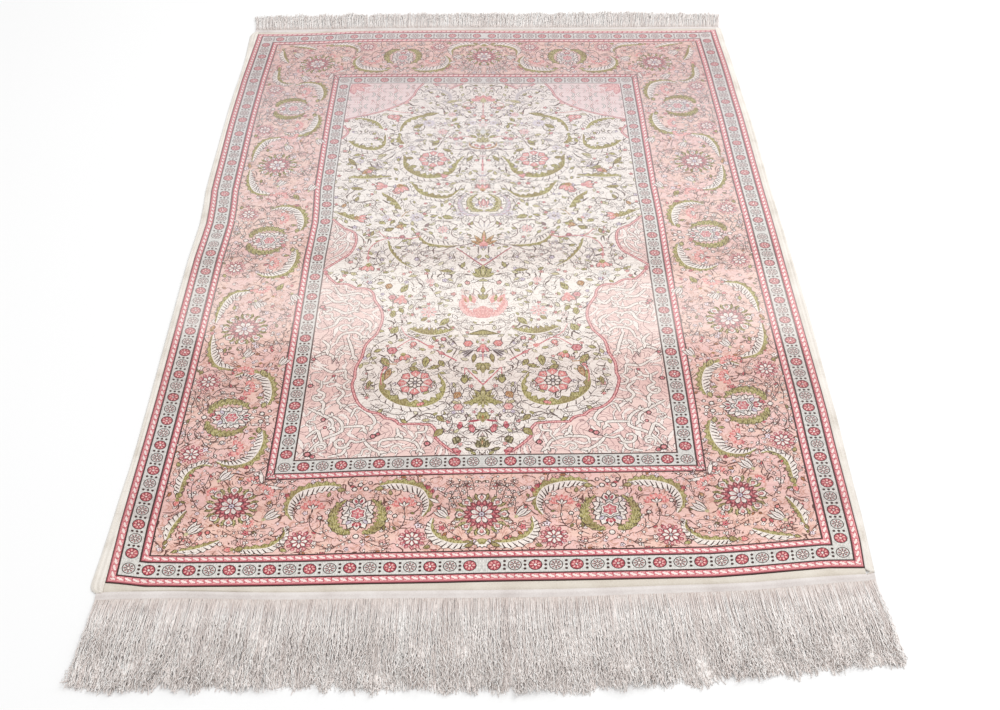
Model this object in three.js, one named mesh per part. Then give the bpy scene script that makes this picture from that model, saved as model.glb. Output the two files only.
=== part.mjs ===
// A hand-knotted silk prayer-format rug lying flat: a pile slab, a corded selvedge down each side,
// a strip of plain kilim weave and a bound heading at each end, and a thread fringe at each end.
// Millimetres, +Z up. X runs across the width, +Y towards the short back fringe.
// The rug's own centre line is X = 0 and the middle of its pile is Y = 0 until the last step,
// which stands the finished rug on the middle of its box.

import * as THREE from 'three';

// ---------------------------------------------------------------- driving dimensions

const PILE = { width: 1000, length: 1500, thickness: 4 };
const SELVEDGE = { thickness: 4 };
const KILIM = { thickness: 2 };
const HEADING = { thickness: 2.6 };
const FRINGE = { thickness: 1.8, bar: 14, teeth: 52, gapAtBar: 2.5, gapAtTip: 5, ragged: 4 };

const JOIN_GAP = 0.3; // air between one piece and the next
const STEP = 50; // distance between outline points along an edge

// ---------------------------------------------------------------- the uneven outline
// Each row says how far the edge of a piece lies outside the straight line of the nominal pile:
// "at" runs along that line from its middle, "out" away from the rug's centre.

const FRONT_PILE = [
  { at: -500, out: 0 }, { at: -480, out: 7 }, { at: -430, out: 12 }, { at: -300, out: 12 },
  { at: -100, out: 11 }, { at: 40, out: 9 }, { at: 300, out: 8 }, { at: 410, out: 0 },
  { at: 466, out: -5 }, { at: 500, out: -3 },
];
const FRONT_KILIM = [
  { at: -520, out: 16 }, { at: -450, out: 19 }, { at: -250, out: 24 }, { at: 60, out: 24 },
  { at: 300, out: 20 }, { at: 490, out: 9 }, { at: 520, out: 6 },
];
const FRONT_HEADING = [
  { at: -520, out: 29 }, { at: -450, out: 31 }, { at: -250, out: 36 }, { at: 60, out: 37 },
  { at: 300, out: 33 }, { at: 490, out: 21 }, { at: 520, out: 16 },
];
const FRONT_TIPS = [
  { at: -520, out: 164 }, { at: -440, out: 169 }, { at: -250, out: 174 }, { at: -110, out: 180 },
  { at: 90, out: 180 }, { at: 230, out: 172 }, { at: 350, out: 162 }, { at: 430, out: 156 },
  { at: 520, out: 148 },
];

const BACK_PILE = [
  { at: -500, out: 1 }, { at: -430, out: 1 }, { at: -370, out: 5 }, { at: -270, out: 12 },
  { at: -100, out: 12 }, { at: 100, out: 9 }, { at: 400, out: 5 }, { at: 450, out: 5 },
  { at: 500, out: 9 },
];
const BACK_KILIM = [
  { at: -520, out: 11 }, { at: -430, out: 12 }, { at: -270, out: 18 }, { at: 0, out: 18 },
  { at: 520, out: 16 },
];
const BACK_HEADING = [
  { at: -520, out: 24 }, { at: -270, out: 29 }, { at: 0, out: 29 }, { at: 520, out: 26 },
];
const BACK_TIPS = [
  { at: -520, out: 88 }, { at: -380, out: 92 }, { at: -160, out: 98 }, { at: 60, out: 96 },
  { at: 300, out: 100 }, { at: 430, out: 92 }, { at: 520, out: 88 },
];

const LEFT_PILE = [
  { at: -750, out: 0 }, { at: -660, out: 4 }, { at: -350, out: 2 }, { at: -60, out: 2 },
  { at: 50, out: -2 }, { at: 180, out: 6 }, { at: 400, out: 9 }, { at: 550, out: 8 },
  { at: 650, out: 4 }, { at: 750, out: 0 },
];
const LEFT_SELVEDGE = [
  { at: -750, out: 19 }, { at: -650, out: 17 }, { at: -500, out: 13 }, { at: -60, out: 13 },
  { at: 50, out: 10 }, { at: 180, out: 17 }, { at: 450, out: 18 }, { at: 630, out: 14 },
  { at: 750, out: 17 },
];

const RIGHT_PILE = [
  { at: -750, out: 0 }, { at: -700, out: 4 }, { at: -550, out: 6 }, { at: -420, out: 9 },
  { at: -200, out: 9 }, { at: 50, out: 10 }, { at: 350, out: 9 }, { at: 550, out: 6 },
  { at: 750, out: 2 },
];
const RIGHT_SELVEDGE = [
  { at: -750, out: 13 }, { at: -620, out: 17 }, { at: -420, out: 22 }, { at: -200, out: 25 },
  { at: 350, out: 24 }, { at: 550, out: 19 }, { at: 750, out: 16 },
];

// How far the fringe spreads past the nominal side lines, by the share of its length.
const FRINGE_SPREAD = [
  { share: 0, left: 8, right: 11 }, { share: 0.12, left: 17, right: 20 },
  { share: 0.3, left: 12, right: 20 }, { share: 0.65, left: 6, right: 17 },
  { share: 1, left: 15, right: 21 },
];
const HEADING_OVERHANG = { left: 8, right: 11 }; // heading past the nominal side lines

// ---------------------------------------------------------------- reading the tables

function readTable(rows, key, column, value) {
  const last = rows.length - 1;
  if (value <= rows[0][key]) return rows[0][column];
  if (value >= rows[last][key]) return rows[last][column];
  const next = rows.findIndex((row) => row[key] >= value);
  const a = rows[next - 1];
  const b = rows[next];
  const t = (value - a[key]) / (b[key] - a[key]);
  return THREE.MathUtils.lerp(a[column], b[column], t * t * (3 - 2 * t));
}

const out = (rows, at) => readTable(rows, 'at', 'out', at);

// Evenly spaced stations from one end to the other, both ends included.
function stations(from, to) {
  const count = Math.max(1, Math.round(Math.abs(to - from) / STEP));
  return Array.from({ length: count + 1 }, (_, i) => THREE.MathUtils.lerp(from, to, i / count));
}

// The edge lines of the rug as points: side is -1 for the front or left and +1 for the back or right.
const endLine = (rows, side, extra = 0) => (x) =>
  new THREE.Vector2(x, side * (PILE.length / 2 + out(rows, x) + extra));
const sideLine = (rows, side, extra = 0) => (y) =>
  new THREE.Vector2(side * (PILE.width / 2 + out(rows, y) + extra), y);

// ---------------------------------------------------------------- solids

function slab(name, points, thickness, material) {
  const outline = new THREE.Shape(points);
  const geometry = new THREE.ExtrudeGeometry(outline, { depth: thickness, bevelEnabled: false });
  const mesh = new THREE.Mesh(geometry, material);
  mesh.name = name;
  return mesh;
}

// A flat strip between an inner and an outer line, both read at the same stations.
function strip(name, inner, outer, at, thickness, material) {
  const points = [...at.map(inner), ...[...at].reverse().map(outer)];
  return slab(name, points, thickness, material);
}

const silkPile = new THREE.MeshStandardMaterial({ color: 0xe0b4a4, roughness: 0.55, metalness: 0 });
const silkCord = new THREE.MeshStandardMaterial({ color: 0xe6e2d6, roughness: 0.7, metalness: 0 });
const kilimWeave = new THREE.MeshStandardMaterial({ color: 0xe8e0cc, roughness: 0.8, metalness: 0 });
const headingWeave = new THREE.MeshStandardMaterial({ color: 0xe2dcd8, roughness: 0.8, metalness: 0 });
const fringeThread = new THREE.MeshStandardMaterial({ color: 0xd8d0ca, roughness: 0.75, metalness: 0 });

// The knotted pile, one slab whose four edges wander as the weaving did.
function makePile() {
  const halfWidth = PILE.width / 2;
  const halfLength = PILE.length / 2;
  const across = stations(-halfWidth, halfWidth).slice(1, -1);
  const along = stations(-halfLength, halfLength).slice(1, -1);
  const corner = (sideX, rowsX, sideY, rowsY) =>
    new THREE.Vector2(
      sideX * (halfWidth + out(rowsX, sideY * halfLength)),
      sideY * (halfLength + out(rowsY, sideX * halfWidth)),
    );
  const points = [
    corner(-1, LEFT_PILE, -1, FRONT_PILE),
    ...across.map(endLine(FRONT_PILE, -1)),
    corner(1, RIGHT_PILE, -1, FRONT_PILE),
    ...along.map(sideLine(RIGHT_PILE, 1)),
    corner(1, RIGHT_PILE, 1, BACK_PILE),
    ...[...across].reverse().map(endLine(BACK_PILE, 1)),
    corner(-1, LEFT_PILE, 1, BACK_PILE),
    ...[...along].reverse().map(sideLine(LEFT_PILE, -1)),
  ];
  return slab('pile', points, PILE.thickness, silkPile);
}

// A selvedge runs past the ends of the pile and stops level with the kilim strips.
function makeSelvedge(name, side, pileRows, outerRows) {
  const reach = PILE.length / 2;
  const edge = (rows, extra) => {
    const line = sideLine(rows, side, extra);
    const front = line(-reach);
    const back = line(reach);
    front.y = endLine(FRONT_KILIM, -1)(front.x).y;
    back.y = endLine(BACK_KILIM, 1)(back.x).y;
    return [front, ...stations(-reach, reach).map(line), back];
  };
  const points = [...edge(pileRows, JOIN_GAP), ...edge(outerRows, 0).reverse()];
  return slab(name, points, SELVEDGE.thickness, silkCord);
}

// The plain-weave strip lies between the two selvedges, against the end of the pile.
function makeKilim(name, side, pileRows, kilimRows) {
  const end = side * PILE.length / 2;
  const left = -(PILE.width / 2 + out(LEFT_PILE, end));
  const right = PILE.width / 2 + out(RIGHT_PILE, end);
  const inner = endLine(pileRows, side, JOIN_GAP);
  const outer = endLine(kilimRows, side);
  const at = [left, ...stations(-PILE.width / 2, PILE.width / 2).slice(1, -1), right];
  return strip(name, inner, outer, at, KILIM.thickness, kilimWeave);
}

// The heading binds the warps across the whole width, past the ends of the kilim strip.
const headingStations = [
  -(PILE.width / 2 + HEADING_OVERHANG.left),
  ...stations(-PILE.width / 2, PILE.width / 2),
  PILE.width / 2 + HEADING_OVERHANG.right,
];

function makeHeading(name, side, kilimRows, headingRows) {
  const inner = endLine(kilimRows, side, JOIN_GAP);
  const outer = endLine(headingRows, side);
  return strip(name, inner, outer, headingStations, HEADING.thickness, headingWeave);
}

// The fringe is one comb: a bar along the heading, and teeth that fan out and end unevenly.
// A point of it is given by its share of the width and its share of the fringe's length.
function makeFringe(name, side, headingRows, tipRows) {
  const length = out(tipRows, 0) - out(headingRows, 0);
  const bar = FRINGE.bar / length;
  const middle = 0.55;
  const point = (across, along, sideways = 0) => {
    const left = PILE.width / 2 + readTable(FRINGE_SPREAD, 'share', 'left', along);
    const right = PILE.width / 2 + readTable(FRINGE_SPREAD, 'share', 'right', along);
    const x = THREE.MathUtils.lerp(-left, right, across);
    const root = endLine(headingRows, side, JOIN_GAP)(x).y;
    const tip = endLine(tipRows, side)(x).y;
    return new THREE.Vector2(x + sideways, THREE.MathUtils.lerp(root, tip, along));
  };
  const points = [];
  for (let i = 0; i < FRINGE.teeth; i += 1) {
    const left = i / FRINGE.teeth;
    const right = (i + 1) / FRINGE.teeth;
    const short = (FRINGE.ragged * (1 + Math.sin(2.4 * i))) / 2 / length;
    const lean = 2 * Math.sin(1.7 * i);
    const leftEdge = i === 0 ? 0 : 1; // the comb's own two sides keep to the spread table
    const rightEdge = i === FRINGE.teeth - 1 ? 0 : 1;
    points.push(
      point(left, bar, leftEdge * FRINGE.gapAtBar / 2),
      point(left, middle, leftEdge * (FRINGE.gapAtBar + lean) / 2),
      point(left, 1 - short, leftEdge * (FRINGE.gapAtTip / 2 + lean)),
      point(right, 1 - short / 2, rightEdge * (lean - FRINGE.gapAtTip / 2)),
      point(right, middle, rightEdge * (lean - FRINGE.gapAtBar) / 2),
      point(right, bar, (-rightEdge * FRINGE.gapAtBar) / 2),
    );
  }
  const root = endLine(headingRows, side, JOIN_GAP);
  points.push(...[...headingStations].reverse().map(root));
  return slab(name, points, FRINGE.thickness, fringeThread);
}

// ---------------------------------------------------------------- the rug

const rug = new THREE.Group();
rug.add(
  makePile(),
  makeSelvedge('selvedge_left', -1, LEFT_PILE, LEFT_SELVEDGE),
  makeSelvedge('selvedge_right', 1, RIGHT_PILE, RIGHT_SELVEDGE),
  makeKilim('kilim_front', -1, FRONT_PILE, FRONT_KILIM),
  makeKilim('kilim_back', 1, BACK_PILE, BACK_KILIM),
  makeHeading('heading_front', -1, FRONT_KILIM, FRONT_HEADING),
  makeHeading('heading_back', 1, BACK_KILIM, BACK_HEADING),
  makeFringe('fringe_front', -1, FRONT_HEADING, FRONT_TIPS),
  makeFringe('fringe_back', 1, BACK_HEADING, BACK_TIPS),
);

// Stand the rug with its origin under the middle of its box.
const box = new THREE.Box3().setFromObject(rug);
const centre = box.getCenter(new THREE.Vector3());
rug.position.set(-centre.x, -centre.y, -box.min.z);

export default rug;
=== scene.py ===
# %% [markdown]
# # A knotted silk rug
# The real rug is woven on a loom: silk knots are tied row by row round the warps, the long edges are
# wrapped with thread, each end is closed by a strip of plain weave and a bound heading, and the warps
# that are left over hang out as the fringe. This lesson builds those pieces one after another around a
# fixed frame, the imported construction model. Everything is in metres there, so the design is drawn in
# millimetres and scaled down at the end.

# %% Load the frame and keep the size of its box
import cmath
import math
from contextlib import contextmanager

import bpy
import numpy as np
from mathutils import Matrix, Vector
from mathutils.geometry import delaunay_2d_cdt


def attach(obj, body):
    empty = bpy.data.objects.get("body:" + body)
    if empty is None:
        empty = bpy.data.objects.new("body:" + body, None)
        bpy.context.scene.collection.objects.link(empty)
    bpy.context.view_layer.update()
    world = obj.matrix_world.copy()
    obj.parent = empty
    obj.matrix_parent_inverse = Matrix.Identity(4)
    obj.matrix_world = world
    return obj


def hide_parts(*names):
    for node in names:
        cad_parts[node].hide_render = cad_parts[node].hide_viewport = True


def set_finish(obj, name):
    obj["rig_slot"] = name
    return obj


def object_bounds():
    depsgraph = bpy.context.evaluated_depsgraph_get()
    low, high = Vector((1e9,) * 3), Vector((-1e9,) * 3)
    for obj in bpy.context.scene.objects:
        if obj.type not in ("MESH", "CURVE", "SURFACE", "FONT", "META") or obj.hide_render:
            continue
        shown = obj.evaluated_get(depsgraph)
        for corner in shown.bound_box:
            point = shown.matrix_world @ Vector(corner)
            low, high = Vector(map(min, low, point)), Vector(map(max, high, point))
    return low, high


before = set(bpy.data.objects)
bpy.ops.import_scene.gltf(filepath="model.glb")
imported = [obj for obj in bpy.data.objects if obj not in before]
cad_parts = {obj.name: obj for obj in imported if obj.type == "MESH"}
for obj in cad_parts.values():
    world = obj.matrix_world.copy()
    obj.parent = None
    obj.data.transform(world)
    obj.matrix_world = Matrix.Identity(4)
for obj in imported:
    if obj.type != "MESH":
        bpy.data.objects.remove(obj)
cad_low, cad_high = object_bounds()
MM = 0.001
print("frame nodes:", sorted(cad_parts), "box:", tuple(cad_low), tuple(cad_high))

# %% [markdown]
# ## Where the pile lies
# A hand-woven rug is never a true rectangle. The design is drawn on the straight rectangle that the
# weaver aimed at, and is then pulled out to the wandering edges of the real pile. The construction
# model already has those edges, so they are read from its vertices and nothing is typed in twice.

# %% Read the true edges of the pile
WIDTH, LENGTH = 1000.0, 1500.0  # the rectangle that the weaver aimed at, in mm
HALF_W, HALF_L = WIDTH / 2, LENGTH / 2


def plan(node):
    """The corner points of a construction piece seen from above, in mm, each only once."""
    points = np.array([v.co[:2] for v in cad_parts[node].data.vertices]) / MM
    return np.unique(points.round(2), axis=0)


pile_plan = plan("pile")
pile_low, pile_high = pile_plan.min(0), pile_plan.max(0)
WANDER = {"left": 9.0, "right": 10.0, "front": 12.0, "back": 12.0}  # the furthest each edge strays out
rug_middle = np.array([
    (pile_low[0] + WANDER["left"] + pile_high[0] - WANDER["right"]) / 2,
    (pile_low[1] + WANDER["front"] + pile_high[1] - WANDER["back"]) / 2,
])
pile_from_middle = pile_plan - rug_middle


def stray(axis, side):
    """How far an edge of the pile lies outside its straight line, as a table to interpolate in."""
    half = (HALF_W, HALF_L)[axis]
    near = pile_from_middle[side * pile_from_middle[:, axis] > half - 20]
    order = np.argsort(near[:, 1 - axis])
    return near[order, 1 - axis], side * near[order, axis] - half


STRAY = {
    "left": stray(0, -1),
    "right": stray(0, 1),
    "front": stray(1, -1),
    "back": stray(1, 1),
}
AXIS_DRIFT = -9.5  # the upright middle line of the design sits a little to the left


def settled(x, y):
    """How the cloth has crept: wefts askew in front, the back drawn aside, the front corners pulled in."""
    back = np.clip((y - 150) / 400, 0, 1)
    front = np.exp(-(((y + 330) / 330) ** 2))
    hem = np.exp(-np.clip(y + HALF_L, 0, None) / 60)
    corner = hem ** 0.4 * np.exp((x - HALF_W) / 150)
    left_corner = hem * np.exp(-np.clip(x + HALF_W, 0, None) / 40)
    across = back * (6.5 - 3 * np.abs(x) / HALF_W) - 3 * front * np.exp(-(((x - 90) / 100) ** 2))
    along = front * (5 * x / HALF_W - 6 * np.exp(-(((x + 290) / 110) ** 2))) + 1.5 * hem
    return x + across - 2.5 * corner - 3 * left_corner, y + along + 3 * corner - 4.5 * left_corner


def woven(x, y):
    """Where a point of the straight design ends up on the real rug, both in mm from its middle."""
    def out(name, place):
        return np.interp(place, *STRAY[name])

    to_right, to_back = (x + HALF_W) / WIDTH, (y + HALF_L) / LENGTH
    across = out("right", y) * to_right - out("left", y) * (1 - to_right)
    along = out("back", x) * to_back - out("front", x) * (1 - to_back)
    drift = AXIS_DRIFT * (1 - np.abs(x) / HALF_W)
    return settled(x + drift + across, y + along)


print("pile edges stray by", {k: (round(v[1].min(), 1), round(v[1].max(), 1)) for k, v in STRAY.items()})

# %% [markdown]
# ## Camera
# The rug is seen from a standing person's height in front of its long fringe, with a lens a little
# longer than normal. The camera comes first, so that every later piece can be judged in its view.

# %% Camera
scene = bpy.context.scene
scene.view_settings.view_transform = "Standard"
CAMERA = {"x": 0.002, "y": -1.822, "z": 1.345, "down": 41.61, "turn": -0.67, "lens": 46.3, "sensor": 36.0}
camera = bpy.data.objects.new("camera", bpy.data.cameras.new("camera"))
camera.data.lens = CAMERA["lens"]
camera.data.sensor_width = CAMERA["sensor"]
camera.location = (rug_middle[0] * MM + CAMERA["x"], rug_middle[1] * MM + CAMERA["y"], CAMERA["z"])
camera.rotation_euler = (math.radians(90 - CAMERA["down"]), 0, math.radians(CAMERA["turn"]))
scene.collection.objects.link(camera)
scene.camera = camera
print("camera at", tuple(round(c, 3) for c in camera.location))

# %% [markdown]
# ## Shapes of the design
# Each patch of one dye is a closed outline. A point of it is written as one complex number, because
# turning and scaling are then a single multiplication. Patches are laid on top of each other like
# cut paper, and later the whole stack is cut into one flat mesh whose faces remember their dye.

# %% Outline helpers
def disc(radius, corners=8):
    """A round patch."""
    return radius * np.exp(1j * np.radians(np.linspace(0, 360, corners + 1)))[:-1]


def lobed(radius, lobes, depth, corners=4, turn=0.0):
    """A round patch with a scalloped rim."""
    angle = np.linspace(0, 2 * np.pi, lobes * corners, endpoint=False)
    return radius * (1 + depth * np.cos(lobes * angle)) * np.exp(1j * (angle + math.radians(turn)))


def petal(length, width, belly=0.5, corners=5):
    """A petal or small leaf from the origin along +X, widest at the belly."""
    t = np.linspace(0, 1, corners)
    half = width / 2 * np.sin(np.pi * t ** (math.log(0.5) / math.log(belly)))
    upper = t * length + 1j * half
    return np.concatenate([upper, np.conj(upper[-2:0:-1])])


def smooth(points, steps=3):
    """A smooth line through a few given points (Catmull-Rom)."""
    p = np.asarray(points, complex)
    p = np.concatenate([[2 * p[0] - p[1]], p, [2 * p[-1] - p[-2]]])
    t = np.linspace(0, 1, steps, endpoint=False)
    parts = [
        0.5 * (2 * b + (c - a) * t + (2 * a - 5 * b + 4 * c - d) * t**2 + (3 * b - a - 3 * c + d) * t**3)
        for a, b, c, d in zip(p, p[1:], p[2:], p[3:])
    ]
    return np.concatenate([*parts, p[-2:-1]])


def sideways(line):
    """For each point of a line, a step of one millimetre to its left."""
    along = np.gradient(line)
    return 1j * along / np.abs(along)


def band(line, width):
    """A stroke along a line, with one width or a width for each point."""
    side = sideways(line) * np.asarray(width) / 2
    return np.concatenate([line + side, (line - side)[::-1]])


# %% [markdown]
# ## Dyes
# Silk takes dye brightly and then fades and mellows. The names below are the weaver's few dye lots,
# and each is a plain sRGB colour. The stack of patches is a list of (dye number, outline).

# %% Dye lots and the stack of patches
DYES = {
    "umber": "3f231e",
    "walnut": "6a4647",
    "peach": "e9b9a4",
    "blush": "f0cbc0",
    "ivory": "f8f5ee",
    "cream": "f4edda",
    "pearl": "d9dfdb",
    "mist": "b9b6bb",
    "lilac": "cfc8dc",
    "garnet": "86384a",
    "madder": "ad3b4c",
    "rose": "d16a75",
    "coral": "e98b85",
    "pink": "f5b9b4",
    "olive": "b0ab65",
    "moss": "5c5330",
    "sage": "ccc69b",
    "amber": "bd8356",
    "braid": "f0a9ab",
    "mauve": "f1e0df",
}
DYE_NUMBER = {name: number for number, name in enumerate(DYES)}
stack = []
places = [(1 + 0j, 0j, 0j)]  # nested placements: z -> a z + b conj(z) + c


@contextmanager
def moved(at=0, turn=0.0, size=1.0, flip=False):
    """Everything laid inside is mirrored in X if told, then scaled, turned and moved."""
    a, b, c = places[-1]
    k = size * cmath.exp(1j * math.radians(turn))
    first, second = (b * np.conj(k), a * k) if flip else (a * k, b * np.conj(k))
    places.append((first, second, a * at + b * np.conj(at) + c))
    yield
    places.pop()


def both_hands():
    """Runs a loop's body for both sides of a motif that is its own mirror image in its upright line."""
    with moved():
        yield
    with moved(turn=180, flip=True):
        yield


def lay(dye, outline, at=0, turn=0.0):
    """Lays one patch of a dye on top of the stack."""
    a, b, c = places[-1]
    z = at + np.asarray(outline, complex) * cmath.exp(1j * math.radians(turn))
    stack.append((DYE_NUMBER[dye], a * z + b * np.conj(z) + c))


def put(motif, at, turn=0.0, size=1.0, **kind):
    """Places a motif, given by its function."""
    with moved(at, turn, size):
        motif(**kind)


print(len(DYES), "dye lots")

# %% [markdown]
# ## Small motifs
# Court rugs of this kind repeat a small stock of flowers and leaves. Each one is drawn once, near
# the origin and growing along +X, with a dark line of single knots round it, and is then placed many
# times.

# %% Small motifs
def ray(length, spread):
    """A point at a distance and an angle in degrees."""
    return length * cmath.exp(1j * math.radians(spread))


def fan(dye, spreads, start, length, width, belly=0.5, corners=5):
    """The same petal at several angles round the origin."""
    for spread in spreads:
        lay(dye, petal(length, width, belly, corners), ray(start, spread), spread)


def ring(dye, count, start, length, width, belly=0.5, corners=5, turn=0.0):
    """A full ring of petals."""
    fan(dye, [turn + 360 * k / count for k in range(count)], start, length, width, belly, corners)


def blossom(dye="ivory", line="umber"):
    """A tiny blossom, hardly more than a few knots."""
    lay(line, disc(2.9, 6))
    lay(dye, disc(1.9, 5))


def flower(radius, dye, heart):
    """A round open flower with a scalloped rim."""
    lay("walnut", lobed(radius, 6, 0.1, 3))
    lay(dye, lobed(radius - 1.4, 6, 0.12, 3))
    lay(heart, disc(radius * 0.24, 6))


def leaf(length=16, width=7, dye="olive", vein=None, line="umber"):
    """A plain pointed leaf with a darker rim and, if told, a vein."""
    lay(line, petal(length + 2, width + 2, 0.42), -1)
    lay(dye, petal(length - 0.4, width - 0.2, 0.42), 0.2)
    if vein:
        lay(vein, petal(length * 0.75, 1.3, 0.5, 3), length * 0.12)


def bud(dye="coral", cup="olive"):
    """A closed bud in its green cup."""
    lay("umber", petal(13, 9.6, 0.45))
    lay(dye, petal(11, 7.4, 0.45), 0.8)
    lay(cup, petal(6, 7, 0.4, 4), -2)


def tulip():
    """A slim tulip of three striped petals."""
    for spread in (-17, 17, 0):
        lay("umber", petal(25, 8.8, 0.5), 0, spread)
        lay("ivory", petal(22.6, 6, 0.5), ray(1, spread), spread)
        lay("mist", petal(15, 1.8, 0.5, 3), ray(5, spread), spread)
    lay("sage", petal(7, 6, 0.5, 4), -2.4)


def carnation(dye="pink", cup="ivory"):
    """A fan-shaped carnation on a pale cup with dark lines."""
    fan("coral", range(-72, 73, 24), 0, 17, 7.4, 0.75, 5)
    fan(dye, range(-60, 61, 24), 5, 10, 3.4, 0.7, 4)
    fan("umber", (-44, 44, 0), 0, 10, 5, 0.6, 4)
    fan(cup, (-44, 44, 0), 0.6, 8, 3, 0.6, 4)
    lay("umber", petal(7, 2.6, 0.5, 4), -6)


def stem(points, width=1.5, dye="walnut"):
    """A plain stem that thins towards its end."""
    line = smooth(points)
    lay(dye, band(line, width * np.linspace(1.1, 0.7, len(line))))


def twig(points, blossoms=9, reach=4.8, dye="umber", petals="ivory"):
    """A thin twig whose short side shoots end in tiny blossoms, on alternate sides."""
    line = smooth(points, 4)
    lay(dye, band(line, 1.1))
    side = sideways(line)
    for k in range(blossoms):
        i = min(round((len(line) - 1) * (k + 0.8) / blossoms), len(line) - 1)
        hand = 1 if k % 2 else -1
        tip = line[i] + reach * (1 + 0.35 * math.sin(2.3 * k)) * side[i] * ray(hand, -30 * hand)
        lay(dye, band(np.array([line[i], tip]), 0.9))
        put(blossom, tip, 40 * k, 0.8 + 0.22 * math.cos(1.9 * k), dye=petals, line=dye)


# %% [markdown]
# ## The long serrated leaf
# The signature of the style is a long curling leaf, saz in the weavers' word: a green, toothed back
# and a pale, feathered inside with dark slanting strokes. It is built along a line of points, so the
# same function makes a short crescent and a long hook.

# %% Serrated leaf
def saz(points, width=14, green=0.5, back="olive", inside="ivory", strokes=9, line="umber", stroke="umber"):
    """A long leaf along a line; its toothed green back is on the left of the line."""
    spine = smooth(points, 4)
    side = sideways(spine)
    t = np.linspace(0, 1, len(spine))
    swell = np.sin(np.pi * (0.04 + 0.93 * t) ** 0.8) ** 0.8
    teeth = 1 + 0.3 * np.where(np.arange(len(t)) % 2, 1, -1)
    outer = spine + side * width * green * 0.88 * swell * teeth
    inner = spine - side * width * (1 - green) * swell * (1 - (teeth - 1) / 2)
    lay(line, np.concatenate([outer + side * 0.7, (inner - side * 0.9)[::-1]]))
    lay(back, np.concatenate([outer, (spine - side * 0.2 * width * (inside is None))[::-1]]))
    if inside is None:
        return
    lay(inside, np.concatenate([spine, inner[::-1]]))
    count = round(strokes * 1.3)
    for k in range(count):
        at = 1 + (len(t) - 4) * k / max(count - 1, 1)
        i = int(at)
        share = at - i
        along = (spine[i + 1] - spine[i]) / abs(spine[i + 1] - spine[i])
        root = (spine[i] * 0.85 + inner[i] * 0.15) * (1 - share)
        root += (spine[i + 1] * 0.85 + inner[i + 1] * 0.15) * share
        rim = inner[i] * (1 - share) + inner[i + 1] * share + 5.5 * swell[i] * along
        lay(stroke, [root - 0.6 * along, rim - 1.3 * along, rim + 1.3 * along, root + 0.6 * along])


# %% [markdown]
# ## Rosettes and palmettes
# The large motifs stand on rings: a dark rim, a ring of red petals, a pale star and a heart. A ring
# of petals is the same petal turned step by step.

# %% Rosettes and palmettes
def grand_rosette():
    """The large border rosette, 78 mm across."""
    for hand in (-9, 9):
        ring("moss", 8, 24, 15, 7.4, 0.5, 5, 22.5 + hand)
        ring("olive", 8, 25.4, 11.6, 4, 0.5, 4, 22.5 + hand)
    ring("umber", 8, 21, 16.8, 14.4, 0.64, 6)
    ring("cream", 8, 21.4, 15.2, 12.0, 0.64, 6)
    ring("garnet", 8, 25, 8.8, 6.8, 0.6, 5)
    ring("pink", 8, 26, 6.4, 4.2, 0.6, 4)
    lay("garnet", disc(21, 16))
    ring("umber", 16, 13, 13.2, 6.8, 0.62, 5, 11.25)
    ring("madder", 16, 13, 12.0, 5.2, 0.62, 5, 11.25)
    ring("pink", 16, 18.4, 4.6, 1.7, 0.6, 3, 11.25)
    lay("garnet", lobed(17.4, 8, 0.1, 3))
    ring("rose", 8, 9, 8.6, 5.6, 0.6, 5)
    ring("umber", 8, 2.8, 14.4, 8.8, 0.66, 5, 22.5)
    ring("ivory", 8, 2.8, 13.0, 7.0, 0.66, 5, 22.5)
    ring("mist", 8, 5.6, 6.4, 1.8, 0.5, 3, 22.5)
    lay("umber", disc(5.2, 8))
    lay("lilac", disc(3.9, 7))
    lay("umber", disc(1.5, 4))


def small_rosette():
    """The small border rosette, 38 mm across."""
    ring("garnet", 12, 9.6, 9.8, 6.4, 0.62, 5)
    ring("rose", 12, 10.4, 8.0, 4.4, 0.62, 5)
    ring("blush", 12, 14, 3.4, 1.7, 0.5, 3)
    lay("garnet", lobed(12.6, 8, 0.1, 3))
    lay("madder", lobed(11.4, 8, 0.1, 3))
    ring("umber", 8, 2.4, 10.4, 6.2, 0.64, 4)
    ring("ivory", 8, 2.6, 9.2, 5.0, 0.64, 4)
    lay("umber", disc(3.6, 6))
    lay("mist", disc(2.4, 5))


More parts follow.
